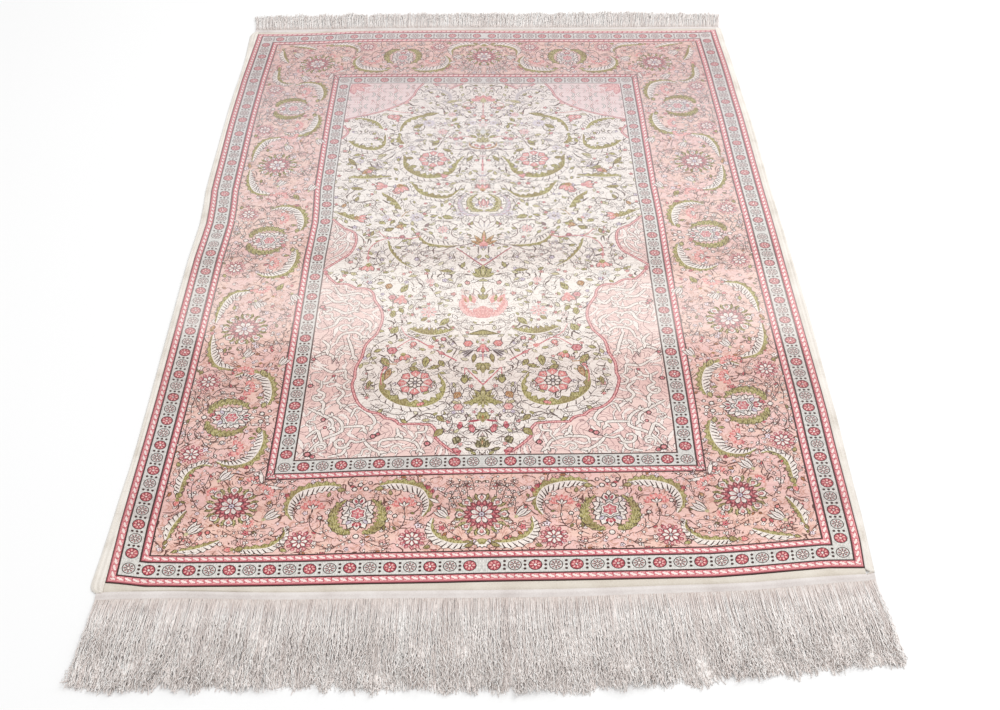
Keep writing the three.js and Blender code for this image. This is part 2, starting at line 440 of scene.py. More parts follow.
def wreath_palmette():
    """The wreathed palmette of the border; its tip points along +Y, into the rug."""
    for _ in both_hands():
        saz([8-35j, 22-32j, 33-18j, 35-2j, 30+13j, 18+26j], 14, 0.6, inside="olive", strokes=6)
        for bend in (-68, -48, -28, -8, 12, 32):
            lay("moss", petal(9, 7, 0.4, 4), 33 * np.exp(1j * math.radians(bend)) - 2j, bend + 34)
            lay("olive", petal(7.4, 5, 0.4, 4), 33 * np.exp(1j * math.radians(bend)) - 2j, bend + 34)
    for spread in range(-90, 270, 24):
        reach = 20 + 9 * abs(math.sin(math.radians(spread)))
        lay("umber", petal(reach - 6, 11, 0.66, 5), ray(8.6, spread), spread)
    for spread in range(-90, 270, 24):
        reach = 20 + 9 * abs(math.sin(math.radians(spread)))
        lay("ivory", petal(reach - 7.8, 8.2, 0.66, 5), ray(8.8, spread), spread)
        lay("mist", petal(reach - 14, 1.6, 0.5, 3), ray(11, spread), spread)
    lay("umber", lobed(17, 8, 0.1, 3), 1j)
    lay("pearl", lobed(15.4, 8, 0.12, 3), 1j)
    for _ in both_hands():
        lay("umber", petal(15, 8.6, 0.55), 4+9j, 54)
        lay("blush", petal(12.6, 6, 0.55), 5+10j, 54)
        lay("umber", petal(12, 7, 0.55), 9-2j, -4)
        lay("ivory", petal(10, 4.8, 0.55), 10-2j, -4)
        lay("umber", petal(12, 7, 0.55), 7-11j, -44)
        lay("lilac", petal(10, 4.8, 0.55), 8-12j, -44)
        lay("madder", petal(9, 4.4, 0.5), 2+18j, 66)
    lay("umber", lobed(12.6, 6, 0.14, 4, 90))
    lay("ivory", lobed(11.4, 6, 0.14, 4, 90))
    lay("garnet", lobed(9.2, 6, 0.14, 4, 90))
    lay("rose", lobed(8.1, 6, 0.14, 4, 90))
    ring("blush", 5, 1.5, 5.4, 2.8, 0.6, 4, 18)
    with moved(-16j, -90):
        fan("madder", (-50, 50, 0), 0, 9, 5.4, 0.6)
        fan("pink", (-26, 26), 1, 6, 2.6, 0.6, 4)
    lay("umber", petal(11, 7.6, 0.5), 25j, 90)
    lay("ivory", petal(9, 5.4, 0.5), 26j, 90)


# %% [markdown]
# ## Guard stripes
# The main border is held between two identical sets of narrow stripes: a braid, a row of coins and
# another braid. They are laid as nested rectangles, each one on top of the last, so every stripe is
# only its distance from the edge and its dye. Only the left half is drawn, since the right half is
# its mirror image.

# %% Guard stripes
STRIPES = [  # distance from the edge of the pile in mm, dye
    (0, "umber"), (1.3, "braid"), (11.5, "umber"), (13.8, "pearl"), (38, "umber"), (40.5, "braid"),
    (49.6, "umber"), (52, "peach"), (188.8, "umber"), (191, "braid"), (199.8, "umber"), (202.2, "pearl"),
    (225.2, "umber"), (227.6, "blush"),
]
BRAIDS = (6.7, 45.05, 195.4)  # distance of the middle of each braid from the edge
OUTER_COINS, INNER_COINS = 26.0, 213.7  # distance of the middle of each row of coins from the edge

for inset, dye in STRIPES:
    low, high = inset - HALF_W, HALF_L - inset
    lay(dye, [low - high * 1j, 2 - high * 1j, 2 + high * 1j, low + high * 1j])


def coin(red):
    """One coin of the guard stripes, either strong red or like grey lace."""
    if red:
        lay("umber", disc(9.4, 12))
        lay("madder", disc(8.3, 10))
        ring("pink", 7, 2.8, 4.6, 2.5, 0.5, 4)
        lay("garnet", disc(3.0, 6))
        lay("blush", disc(2.0, 5))
    else:
        lay("umber", disc(9.4, 12))
        lay("pearl", disc(8.1, 12))
        ring("walnut", 8, 2.4, 5.2, 3.1, 0.6, 4)
        ring("pink", 8, 4.6, 2.2, 1.2, 0.5, 3)
        lay("walnut", disc(3.2, 6))
        lay("ivory", disc(2.0, 5))


def coin_row(start, step, count, first_red, last_gap):
    """Coins from a corner towards the middle, with three small dots in each gap."""
    for k in range(count):
        put(coin, start + k * step, red=(k % 2 == 0) == first_red)
        if k < count - 1 or last_gap:
            for side in (-6.6, 0, 6.6):
                lay("umber", disc(2.3, 5), start + (k + 0.5) * step + 1j * side * step / abs(step))


for end in (False, True):
    with moved(flip=end):
        for inset, end_step, end_count, side_step, side_count, last_gap in (
            (OUTER_COINS, 26.93, 18, 25.41, 28, False), (INNER_COINS, 27.33, 11, 25.53, 20, True),
        ):
            coin_row(-HALF_W + inset + (inset - HALF_L) * 1j, end_step, end_count, False, False)
            start = -HALF_W + inset + (inset - HALF_L + side_step) * 1j
            coin_row(start, side_step * 1j, side_count, True, last_gap)
put(coin, INNER_COINS - HALF_W, red=True)
print(len(stack), "patches in the stripes")

# %% [markdown]
# ## Main border
# The border repeats one group, a wreathed palmette between two long leaves, two carnations and two
# small rosettes. The group is drawn lying on its own line, with +Y pointing into the rug, and is put
# once on each half end and three times on each side. Grand rosettes sit between the groups.

# %% The palmette group
def palmette_group():
    """The palmette with its leaves, carnations and small rosettes."""
    for _ in both_hands():
        twig([6-43j, 18-52j, 36-60j, 52-54j], 7)
        twig([30-44j, 44-34j, 46-18j], 4)
        twig([96-60j, 104-44j, 98-26j, 84-20j], 5, petals="blush")
        stem([48-36j, 60-28j, 66-12j, 64+8j], 1.3, "umber")
        stem([66-12j, 78-14j, 88-2j, 84+14j], 1.1, "umber")
        put(blossom, 84+15j, size=1.5, dye="ivory")
        put(blossom, 52-6j, size=1.5, dye="ivory")
        stem([60-28j, 50-20j, 52-6j], 1.1, "umber")
        put(carnation, 64+10j, 92, 1.12)
        saz([90-8j, 98+8j, 97+26j, 87+43j, 66+52j, 44+54j, 27+50j][::-1], 22, 0.42, strokes=12)
        put(bud, 100+33j, 60, 0.8, dye="madder", cup="amber")
        put(leaf, 33+46j, 190, length=13, width=8, dye="olive", vein="sage")
        put(blossom, 8+45j, size=1.7, dye="ivory")
        put(blossom, 14+56j, size=1.3, dye="blush")
        put(leaf, 44+32j, 100, length=10, width=5)
        put(small_rosette, 77-47j)
        put(leaf, 102-60j, 200, length=10, width=6)
    put(blossom, 53j, size=1.6, dye="ivory")
    put(wreath_palmette, 0)
    lay("umber", disc(5, 7), -41j)
    lay("ivory", disc(3.6, 6), -41j)


def bushy_twigs():
    """The heavier blossom twigs on the outer side of a side group."""
    for _ in both_hands():
        twig([4-50j, 16-44j, 34-50j, 46-42j], 6, petals="blush")
        twig([8-62j, 24-64j, 40-62j, 56-64j], 7)
        twig([46-30j, 52-16j, 48-2j], 4)


# %% [markdown]
# The grand rosettes of the sides stand between two J-shaped leaves. The ones at the ends of the rug
# have a thicket of blossom beside them, and the corners have leaves and tulips mirrored about the
# diagonal.

# %% Rosette groups and corners
def side_rosette_group():
    """A grand rosette between J-shaped leaves, with tulips and carnations."""
    for _ in both_hands():
        twig([30+20j, 40+44j, 30+62j, 10+66j], 8, petals="blush")
        twig([44+6j, 60+2j, 72+12j], 5)
        twig([8+48j, 24+54j, 48+66j], 5)
        saz([95-4j, 88-29j, 68-42j, 42-48j, 14-49j], 19, 0.38, strokes=11)
        put(blossom, 96-2j, size=1.6, dye="coral")
        put(leaf, 46-24j, 0, length=13, width=5)
        put(tulip, 70+8j, 150, 0.95)
        put(tulip, 88+66j, 150, 1.0)
        put(bud, 80+36j, 20, 1.0, dye="pink", cup="amber")
        put(leaf, 96+40j, 30, length=20, width=10, vein="moss")
        put(carnation, 104+14j, 160, 1.0, cup="blush")
        put(blossom, 60-22j, size=1.6, dye="pink")
    put(bud, 6-53j, 180, 0.8, dye="amber")
    put(leaf, -8-51j, 0, length=12, width=6, dye="amber")
    put(grand_rosette, 0)


def end_rosette_group():
    """The grand rosette in the middle of an end, in a thicket of blossom."""
    for _ in both_hands():
        for reach in (40+16j, 31+30j, 22+40j, 12+46j):
            twig([reach * 0.9, reach + 10j, reach + 4 + 22j], 7)
        twig([44+4j, 46+24j, 36+48j, 22+58j], 10, petals="blush")
        twig([30+58j, 44+54j, 54+40j], 5)
        saz([14-50j, 37-50j, 59-41j, 70-25j, 68-5j], 19, 0.4, strokes=9)
        twig([30-40j, 44-30j, 52-14j], 5, petals="coral")
        put(tulip, 46-6j, 45, 1.05)
        put(bud, 74+46j, 60, 0.9, dye="madder", cup="amber")
        put(leaf, 60+22j, 30, length=18, width=5, dye="ivory", line="umber")
        put(blossom, 60+12j, size=1.2, dye="coral")
        put(leaf, 12-52j, -20, length=14, width=6)
        put(blossom, 32-42j, size=1.4, dye="coral")
    with moved(-47j, -90, 0.9):
        fan("umber", (-60, 60, -30, 30, 0), 0, 15, 8.6, 0.6)
        fan("ivory", (-60, 60, -30, 30, 0), 0.6, 12.6, 6, 0.6)
        fan("olive", (-100, 100), -1, 10, 7, 0.5)
        lay("olive", disc(6.4, 8), 1)
    put(grand_rosette, 0, size=1.02)


def corner_half():
    """What lies on one side of the corner's diagonal; X runs along the end, from the rosette."""
    put(tulip, 47-26j, 38, 1.1)
    saz([17-78j, 36-78j, 62-74j, 80-56j, 78-40j], 16, 0.42, strokes=10)
    put(bud, 12-78j, 185, 1.1, dye="coral", cup="olive")
    put(leaf, 26-76j, 195, length=13, width=9)
    saz([-61-81j, -40-77j, -22-70j, -8-62j], 15, 0.42, strokes=5)
    put(leaf, -62-80j, 200, length=10, width=5)
    put(carnation, 26-30j, -50, 0.62, dye="coral")
    put(carnation, 24+42j, 62, 0.9, dye="pink")
    put(leaf, 42+37j, -12, length=28, width=6, dye="ivory", line="umber")
    put(blossom, 54+28j, size=1.6, dye="coral")
    put(leaf, 50+2j, 60, length=9, width=5, dye="amber")
    put(blossom, -26-48j, size=1.6, dye="coral")
    put(blossom, 44+14j, size=1.3, dye="pink")
    twig([-6-46j, 16-58j, 40-62j, 56-52j], 9)
    twig([30-56j, 40-44j, 60-40j], 5, petals="blush")
    twig([64+10j, 66+28j, 78+40j, 88+34j], 6)
    twig([36+30j, 52+44j, 70+50j], 6, petals="blush")
    twig([-70-62j, -52-58j, -44-68j], 4, petals="coral")


CORNER = -HALF_W + 149 + (140 - HALF_L) * 1j
GROUP_ON_END = -HALF_W + 327 + (121 - HALF_L) * 1j
GROUP_ON_SIDE = -HALF_W + 121.5 - 433j
ROSETTE_ON_SIDE = -HALF_W + 113 - 232j

for end in (False, True):
    with moved(flip=end):
        with moved(CORNER):
            corner_half()
            with moved(turn=90, flip=True):
                corner_half()
            put(tulip, -56-52j, 45, 1.15)
            put(grand_rosette, 0)
        put(palmette_group, GROUP_ON_END)
        with moved(GROUP_ON_SIDE, -90):
            bushy_twigs()
            palmette_group()
        put(side_rosette_group, ROSETTE_ON_SIDE, -90)
        put(end_rosette_group, (115 - HALF_L) * 1j)
with moved(GROUP_ON_SIDE.real, -90):
    bushy_twigs()
    palmette_group()
print(len(stack), "patches with the border")

# %% [markdown]
# ## The field and its outline
# The field is a prayer niche turned into a vase shape: a cream ground with scalloped edges between
# pink corners. Each stretch of the edge is a smooth line through a few points, and where two
# stretches meet there is a cusp. Pink ground is laid already, so the corners get their scrolls first
# and the cream is laid over them.

# %% Edge of the cream ground
VASE_EDGE = [  # from the front up to the widest place, each row one scallop
    [-33-523j, -46-514j, -60-500j, -70-488j],
    [-70-488j, -71-472j, -78-461j],
    [-78-461j, -102-458j, -126-458j],
    [-126-458j, -134-448j, -149-444j],
    [-149-444j, -154-437j, -160-433j, -175-427j, -189-412j, -197-394j],
    [-197-394j, -203-369j, -200-352j],
    [-200-352j, -200-330j, -192-306j],
    [-192-306j, -188-278j, -172-252j],
    [-172-252j, -167-232j, -165-213j, -169-192j, -181-167j],
    [-181-167j, -185-149j, -197-137j, -214-136j],
    [-214-136j, -229-124j, -248-122j],
    [-248-122j, -260-108j, -273-86j],
]
SIDE_LOBE = [
    [-273-84j, -248-59j, -232-42j, -225-12j, -230+16j, -250+30j],
    [-250+30j, -259+40j, -273+58j],
]
SMALL_LOBE = [[-273+315j, -262+339j, -273+363j]]
CROWN_EDGE = [
    [-273+384j, -236+398j, -206+412j], [-206+412j, -187+424j, -171+436j],
    [-171+436j, -153+453j, -141+475j], [-141+475j, -134+501j, -123+523j],
]
TOOTH = [[-103+523j, -90+508j, -75+497j, -58+510j, -41+523j]]


def scallops(rows):
    """One line from the scallops of an edge."""
    return np.concatenate([smooth(row) for row in rows])


edges = [scallops(rows) for rows in (VASE_EDGE, SIDE_LOBE, SMALL_LOBE, CROWN_EDGE, TOOTH)]


def field_edge():
    """The cream ground and its red outline."""
    lay("cream", np.concatenate([*edges, [2+523j, 2-523j]]))
    for dye, width in (("garnet", 5.2), ("rose", 3.0), ("pink", 1.3)):
        for line in edges:
            lay(dye, band(line, width))


# %% [markdown]
# Split-leaf scrolls fill the pink corners: pale ribbons with a dark line on both sides, each ending
# in a hook or a little leaf.

# %% Scrolls of the corners
def scroll(points, width=5.0, dye="ivory", line="umber", leaf_end=True):
    """A pale ribbon between two lines, which ends in two small leaves unless told otherwise."""
    path = smooth(points)
    t = np.linspace(0, 1, len(path))
    body = width * (0.35 + 0.65 * np.sin(np.pi * (0.12 + 0.76 * t)))
    lay(line, band(path, body + 1.9))
    lay(dye, band(path, body))
    if leaf_end:
        along = path[-1] - path[-2]
        turn = math.degrees(cmath.phase(along))
        for shade, rim in ((line, 1.9), (dye, 0)):
            lay(shade, petal(13 + rim, 5.4 + rim, 0.35), path[-1] - along, turn + 26)
            lay(shade, petal(9 + rim, 4 + rim, 0.4), path[-1] - along, turn - 44)


def curl(at, turn, size=1.0, flip=False, **kind):
    """A scroll that winds up in a spiral."""
    with moved(at, turn, size, flip):
        spiral = [ray(15 - 2.0 * k, 200 - 62 * k) + 15 for k in range(7)]
        scroll([-22-9j, -8-3j, *spiral], leaf_end=False, **kind)


CORNER_SCROLLS = [
    [-258-513j, -239-484j, -210-467j, -216-444j, -233-431j], [-226-519j, -206-514j, -200-500j],
    [-178-484j, -166-503j, -145-518j], [-153-503j, -149-490j, -120-488j, -99-497j, -91-516j],
    [-128-466j, -124-484j], [-262-478j, -248-463j, -241-478j, -236-492j],
    [-210-459j, -181-459j, -178-467j], [-199-438j, -191-419j, -170-436j, -162-452j, -168-461j],
    [-266-415j, -248-427j, -227-444j, -225-463j], [-262-388j, -243-406j, -245-424j],
    [-226-372j, -214-386j, -222-402j, -212-416j], [-254-324j, -237-337j, -216-335j, -218-348j],
    [-266-301j, -250-293j, -233-305j], [-258-262j, -247-276j, -250-290j],
    [-218-258j, -210-284j, -204-312j], [-236-270j, -228-250j, -206-246j, -192-262j],
    [-262-236j, -242-226j, -234-208j, -214-214j], [-250-131j, -237-152j, -210-148j, -196-158j],
    [-262-150j, -246-168j, -226-166j], [-266-202j, -248-186j, -227-198j, -206-190j],
    [-206-172j, -196-186j, -184-180j], [-196-214j, -184-226j, -186-242j],
    [-262-352j, -246-362j, -234-356j],
]
for points in CORNER_SCROLLS:
    scroll(points)
for at, turn, size, flip in (
    (-195-493j, 170, 0.95, False), (-95-478j, 80, 0.8, True), (-246-505j, 30, 0.7, False),
    (-250-378j, 250, 0.9, False), (-212-360j, 300, 0.8, True), (-226-294j, 60, 0.75, False),
    (-214-232j, 200, 0.8, True), (-252-200j, 100, 0.8, False), (-222-176j, 20, 0.7, True),
    (-118-506j, 200, 0.7, True), (-178-514j, 10, 0.6, False), (-256-440j, 260, 0.6, True),
):
    curl(at, turn, size, flip)
stem([-262-518j, -236-508j, -204-520j], 1.2)
stem([-266-446j, -252-452j, -240-444j, -214-424j, -204-402j], 1.2)
stem([-236-340j, -226-322j, -236-300j, -222-280j, -228-252j], 1.1)
stem([-262-214j, -250-240j, -262-262j, -256-300j], 1.1)
stem([-182-494j, -158-482j, -140-472j], 1.1)
for at, size in (
    (-256-512j, 2.2), (-248-517j, 1.7), (-163-481j, 1.9), (-156-477j, 1.5), (-240-441j, 1.7),
    (-267-366j, 1.8), (-236-458j, 1.3), (-82-499j, 2.0), (-268-306j, 1.5), (-266-180j, 2.0),
    (-262-186j, 1.4), (-233-346j, 1.3),
):
    put(blossom, at, size=size, dye="rose")

# %% Scrolls of the side lobe and of the crown corners
for points in (
    [-266-56j, -246-40j, -238-14j, -250-2j], [-266-24j, -258-2j, -246+14j, -258+26j],
    [-268-40j, -256-30j, -258-16j], [-266+40j, -260+24j, -266+8j],
):
    scroll(points, 3.4, "ivory", "walnut")
lay("mauve", np.concatenate([edges[3], [-40+523j, -273+523j]]))
for row, y in enumerate(range(404, 524, 15)):
    for step in range(9):
        x = -266 + 17 * step + 7 * (row % 2)
        limit = np.interp(y, [384, 412, 436, 475, 523], [-262, -200, -166, -140, -124])
        if x < limit - 8:
            at = x + y * 1j
            hook = 5 if (row + step) % 2 else -5
            dye = ("ivory", "pearl", "blush")[(row + step) % 3]
            line = "walnut" if row % 3 else "rose"
            scroll([at - 9j, at + hook, at + 9j], 3.0, dye, line, False)
for dye, width in (("rose", 3.6), ("ivory", 1.6)):
    lay(dye, band(smooth([-268+470j, -250+474j, -236+488j, -216+492j, -206+518j]), width))
with moved(-273+523j, -45):
    for spread in (-34, 0, 34):
        lay("rose", petal(42, 15, 0.6), 4, spread)
        lay("pink", petal(36, 9, 0.6), 6, spread)
for x in (-92, -76, -60):
    scroll([x + 521j, x + 2 + 514j, x + 508j + (x > -90) * 2], 2.4, "mist", "rose", False)

field_edge()
put(bud, -33-517j, 150, 1.15, dye="rose", cup="madder")
put(bud, -268-97j, 100, 1.05, dye="rose", cup="madder")
put(bud, -150+449j, 215, 1.0, dye="pink", cup="rose")
print(len(stack), "patches with the corners")

# %% [markdown]
# ## Flowers of the field
# A few more flowers appear only on the cream ground, among them the peony, the hanging lotus, and
# the vine whose leaves are nothing but a dark outline round the pale ground.

# %% Field flowers
def vine(points, leaves):
    """A thin vine with small outlined leaves, about 9 mm long, on alternate sides."""
    line = smooth(points)
    lay("umber", band(line, 1.1))
    for k in range(leaves):
        i = min(round((len(line) - 1) * (k + 0.6) / leaves), len(line) - 2)
        heading = math.degrees(cmath.phase(line[i + 1] - line[i]))
        turn = heading + (58 if k % 2 else -58)
        reach = 9.0 * (0.85 + 0.25 * math.sin(1.7 * k))
        lay("umber", petal(reach + 1.8, reach * 0.4 + 1.8, 0.45, 4), line[i], turn)
        lay("ivory", petal(reach, reach * 0.4, 0.45, 4), line[i] + ray(0.7, turn), turn)


def peony():
    """The coral peony of the field, 56 mm across."""
    ring("umber", 8, 8, 20.4, 18, 0.7, 5)
    ring("rose", 8, 8, 19.2, 16, 0.72, 5)
    ring("coral", 8, 9, 17.0, 11.6, 0.72, 5)
    ring("ivory", 8, 12, 11, 3.4, 0.5, 4, 22.5)
    ring("blush", 8, 14, 9, 3.4, 0.6, 4)
    lay("umber", lobed(12.4, 8, 0.12, 3))
    ring("ivory", 8, 3, 8.6, 5.6, 0.62, 4)
    lay("umber", disc(4.4, 6))
    lay("mist", disc(2.6, 5))


def star(radius, dye, heart):
    """A pale blossom with open petals."""
    ring("mist", 8, radius * 0.25, radius * 0.8, radius * 0.56, 0.6, 4)
    ring(dye, 8, radius * 0.28, radius * 0.68, radius * 0.4, 0.6, 4)
    lay(heart, disc(radius * 0.3, 6))
    lay("ivory", disc(radius * 0.14, 4))


def hanging_lotus():
    """The large coral lotus under the middle of the field; it hangs down along -Y."""
    for _ in both_hands():
        fan("walnut", (20, 45, 70, -10, -35), 6, 40, 12, 0.62)
        fan("ivory", (20, 45, 70, -10, -35), 6, 37.6, 9, 0.62)
        fan("blush", (32, 58, 5), 8, 28, 6, 0.6)
        saz([7-27j, 22-22j, 32-8j, 36+8j, 30+22j], 13, 0.6, "coral", "pink", 0, "rose")
        lay("coral", petal(26, 12, 0.4), 24+6j, 62)
        lay("coral", petal(24, 10, 0.4), 14+4j, 76)
        lay("olive", petal(20, 6, 0.5), 20+8j, 84)
        lay("amber", petal(16, 4.4, 0.5), 27+6j, 70)
    lay("rose", lobed(17, 5, 0.08, 4, 90), -17j)
    lay("coral", lobed(15.4, 5, 0.08, 4, 90), -17j)
    lay("ivory", [-11+9j, -5+2j, -15-12j, -3-3j, 3-3j, 15-12j, 5+2j, 11+9j, 14j])
    for turn in (60, 90, 120):
        put(leaf, 14j, turn, length=17, width=7)
    lay("moss", petal(20, 9, 0.4), 30j, 90)
    lay("olive", petal(18, 6.4, 0.4), 31j, 90)


def olive_lotus(width=30, height=35, dye="olive", heart="sage"):
    """A small green lotus growing along +X."""
    for spread in (-58, 58, -30, 30, 0):
        length = height * (1 - abs(spread) / 160)
        lay("moss", petal(length, width * 0.36, 0.5), -height * 0.4, spread)
        lay(dye, petal(length - 2, width * 0.26, 0.5), -height * 0.4 + ray(0.8, spread), spread)
    lay(heart, petal(height * 0.5, width * 0.12, 0.5, 4), -height * 0.2)


def bell(dye="coral", cup="olive"):
    """A coral bell with a green cup, growing along +X."""
    fan("umber", (-30, 30, 0), 0, 20, 10, 0.62)
    fan(dye, (-30, 30, 0), 1, 17.4, 7, 0.62)
    fan("blush", (-16, 16), 8, 8, 2.4, 0.6, 4)
    lay(cup, petal(11, 10, 0.45), -3)


def heart_palmette():
    """The green palmette with a red heart above the middle; it points along +Y."""
    for _ in both_hands():
        saz([9-38j, 30-36j, 42-16j, 42+8j, 28+27j], 9, 0.5, "mist", "lilac", 7, "umber", "madder")
        saz([2-26j, 18-24j, 26-8j, 24+12j, 10+26j], 12, 0.55, "olive", "sage", 0)
        lay("madder", petal(9, 4, 0.5), 33-22j, 120)
        lay("umber", petal(20, 7, 0.5), 5-12j, 78)
        lay("pink", petal(17.6, 4.8, 0.5), 5-11j, 78)
    lay("umber", petal(26, 12, 0.45), -14j, 90)
    lay("rose", petal(23.6, 9.4, 0.45), -13j, 90)
    lay("blush", petal(14, 4, 0.45), -9j, 90)


# %% [markdown]
# ## Filling the field
# The field is symmetric only from side to side, so its left half is filled from front to back:
# first the thin vines, then the long leaves, and the flowers on top.

# %% Vines of the field
for points, leaves in (
    ([-62-466j, -50-478j, -36-480j, -20-492j], 5), ([-62-432j, -50-424j, -58-412j, -66-402j], 6),
    ([-14-384j, -22-396j, -18-410j, -32-418j], 6), ([-30-440j, -42-438j, -54-448j, -68-452j], 6),
    ([-36-378j, -30-392j, -38-404j], 4), ([-130-400j, -140-388j, -144-370j], 5),
    ([-84-392j, -72-382j, -78-366j], 4), ([-128-342j, -112-334j, -96-342j], 4),
    ([-44-282j, -60-262j, -76-250j], 4), ([-110-446j, -92-440j, -74-446j, -56-438j], 6),
    ([-172-412j, -158-424j, -138-436j, -118-438j], 6), ([-186-330j, -180-352j, -186-374j, -176-398j], 7),
    ([-160-268j, -176-284j, -178-306j, -168-322j], 6), ([-52-420j, -44-404j, -50-388j, -40-372j], 5),
    ([-40-350j, -52-340j, -56-322j], 4), ([-134-250j, -112-262j, -90-270j], 4),
    ([-30-300j, -46-292j, -56-278j, -44-266j], 5), ([-20-250j, -36-240j, -30-224j, -14-232j], 5),
    ([-62-214j, -74-196j, -70-172j, -58-160j], 6), ([-110-218j, -116-200j, -112-180j, -100-168j], 5),
    ([-150-232j, -140-238j, -128-228j], 3), ([-132-120j, -116-112j, -104-120j, -100-140j, -110-156j], 6),
    ([-76-132j, -60-140j, -48-130j, -44-114j, -30-108j], 7),
    ([-190-116j, -178-104j, -164-106j, -152-116j], 5), ([-238-92j, -222-84j, -216-66j, -226-52j], 6),
    ([-182-34j, -186-56j, -178-76j, -166-88j], 6), ([-36-66j, -48-60j, -62-66j, -70-82j, -58-92j], 6),
    ([-90-38j, -106-40j, -114-50j, -110-66j, -98-74j], 6), ([-214+34j, -198+24j, -184+30j, -170+22j], 6),
    ([-262+120j, -248+106j, -246+90j, -232+84j, -216+92j], 8), ([-258+168j, -246+150j, -252+132j], 4),
    ([-206+120j, -196+104j, -204+84j, -190+70j], 7), ([-136+110j, -126+92j, -110+90j, -96+98j], 6),
    ([-104+160j, -92+148j, -76+150j, -66+162j], 6), ([-36+130j, -50+116j, -56+96j, -50+76j], 6),
    ([-14+60j, -30+62j, -42+52j, -36+36j], 5), ([-44+178j, -30+166j, -16+172j, -8+186j], 6),
    ([-18+218j, -30+228j, -26+246j, -14+258j], 6), ([-176+232j, -192+240j, -206+232j, -222+240j], 7),
    ([-256+262j, -244+250j, -228+256j, -214+250j], 6), ([-262+214j, -250+204j, -236+210j, -222+202j], 6),
    ([-156+276j, -140+290j, -124+288j, -112+298j], 7),
    ([-112+318j, -96+326j, -84+316j, -66+322j, -56+338j], 7),
    ([-236+330j, -222+342j, -206+338j, -202+322j, -216+314j], 8),
    ([-244+372j, -226+362j, -206+368j, -188+358j], 8), ([-136+350j, -126+362j, -130+378j, -118+390j], 6),
    ([-98+434j, -84+424j, -68+430j, -56+422j], 6), ([-40+350j, -28+362j, -34+380j, -22+392j], 6),
    ([-46+444j, -34+456j, -38+474j, -26+486j, -30+506j], 8), ([-12+512j, -22+500j, -16+486j], 4),
    ([-20+330j, -12+346j, -20+360j], 4),
):
    vine(points, leaves)
for points, blossoms in (
    ([-148-64j, -138-48j, -124-40j, -112-30j], 8), ([-142-38j, -128-22j, -112-18j], 6),
    ([-116-84j, -104-66j, -90-56j, -78-60j], 8), ([-84-66j, -76-52j, -64-48j], 5),
    ([-218-74j, -212-54j, -216-34j, -208-14j], 8), ([-176-68j, -184-48j, -178-30j], 6),
    ([-214+8j, -202+14j, -186+10j], 5), ([-176-96j, -166-80j, -152-84j], 5),
    ([-28+268j, -14+272j, 0+268j], 5), ([-210+196j, -196+214j, -204+232j], 6),
    ([-40+396j, -48+412j, -38+428j], 6), ([-24+404j, -14+420j, -20+436j], 6),
    ([-26-436j, -18-452j, -28-466j], 5), ([-48-446j, -46-462j, -52-474j], 5),
    ([-100+350j, -90+362j, -78+366j], 5), ([-136+214j, -124+206j, -110+208j], 4),
):
    twig(points, blossoms, 4.2, "umber", ("lilac", "ivory", "blush")[blossoms % 3])

# %% Long leaves of the field
LONG_LEAVES = [  # points, width, green share, hatch strokes
    ([-159-345j, -160-384j, -133-414j, -95-423j, -66-408j, -58-377j, -70-350j], 19, 0.5, 13),
    ([-120-244j, -101-255j, -80-259j, -62-255j, -47-247j], 15, 0.85, 0),
    ([-47-24j, -70-24j, -98-16j, -112+1j, -126+20j], 16, 0.3, 8),
    ([-170-8j, -165-32j, -155-52j, -142-70j, -122-86j], 13, 0.3, 5),
    ([-260+307j, -242+286j, -208+275j, -188+292j, -188+330j], 19, 0.42, 10),
    ([-151+256j, -147+215j, -120+187j, -90+181j, -57+197j, -46+231j, -34+254j], 19, 0.5, 12),
    ([-132+164j, -116+132j, -90+118j, -63+118j, -42+143j], 17, 0.5, 9),
    ([-185+137j, -162+114j, -149+84j][::-1], 18, 0.5, 5),
    ([-248+185j, -222+181j, -196+183j, -170+187j], 11, 0.85, 0),
    ([-266+74j, -237+55j, -214+57j], 15, 0.6, 5),
    ([-162+340j, -160+362j, -146+388j, -112+405j, -92+410j][::-1], 17, 0.4, 9),
    ([-250+390j, -228+388j, -206+374j, -194+350j][::-1], 17, 0.4, 8),
    ([-150+298j, -158+312j, -160+326j], 13, 0.6, 3),
    ([-121+486j, -106+502j, -84+500j, -66+482j, -64+458j, -80+444j][::-1], 14, 0.35, 10),
]
for points, width, green, strokes in LONG_LEAVES:
    back = "mist" if points[0].imag > 440 else "olive"
    saz(points, width * 1.25, min(green * 1.2, 0.85), back, strokes=strokes)
stem([-156-336j, -160-352j, -158-372j], 2.4, "rose")

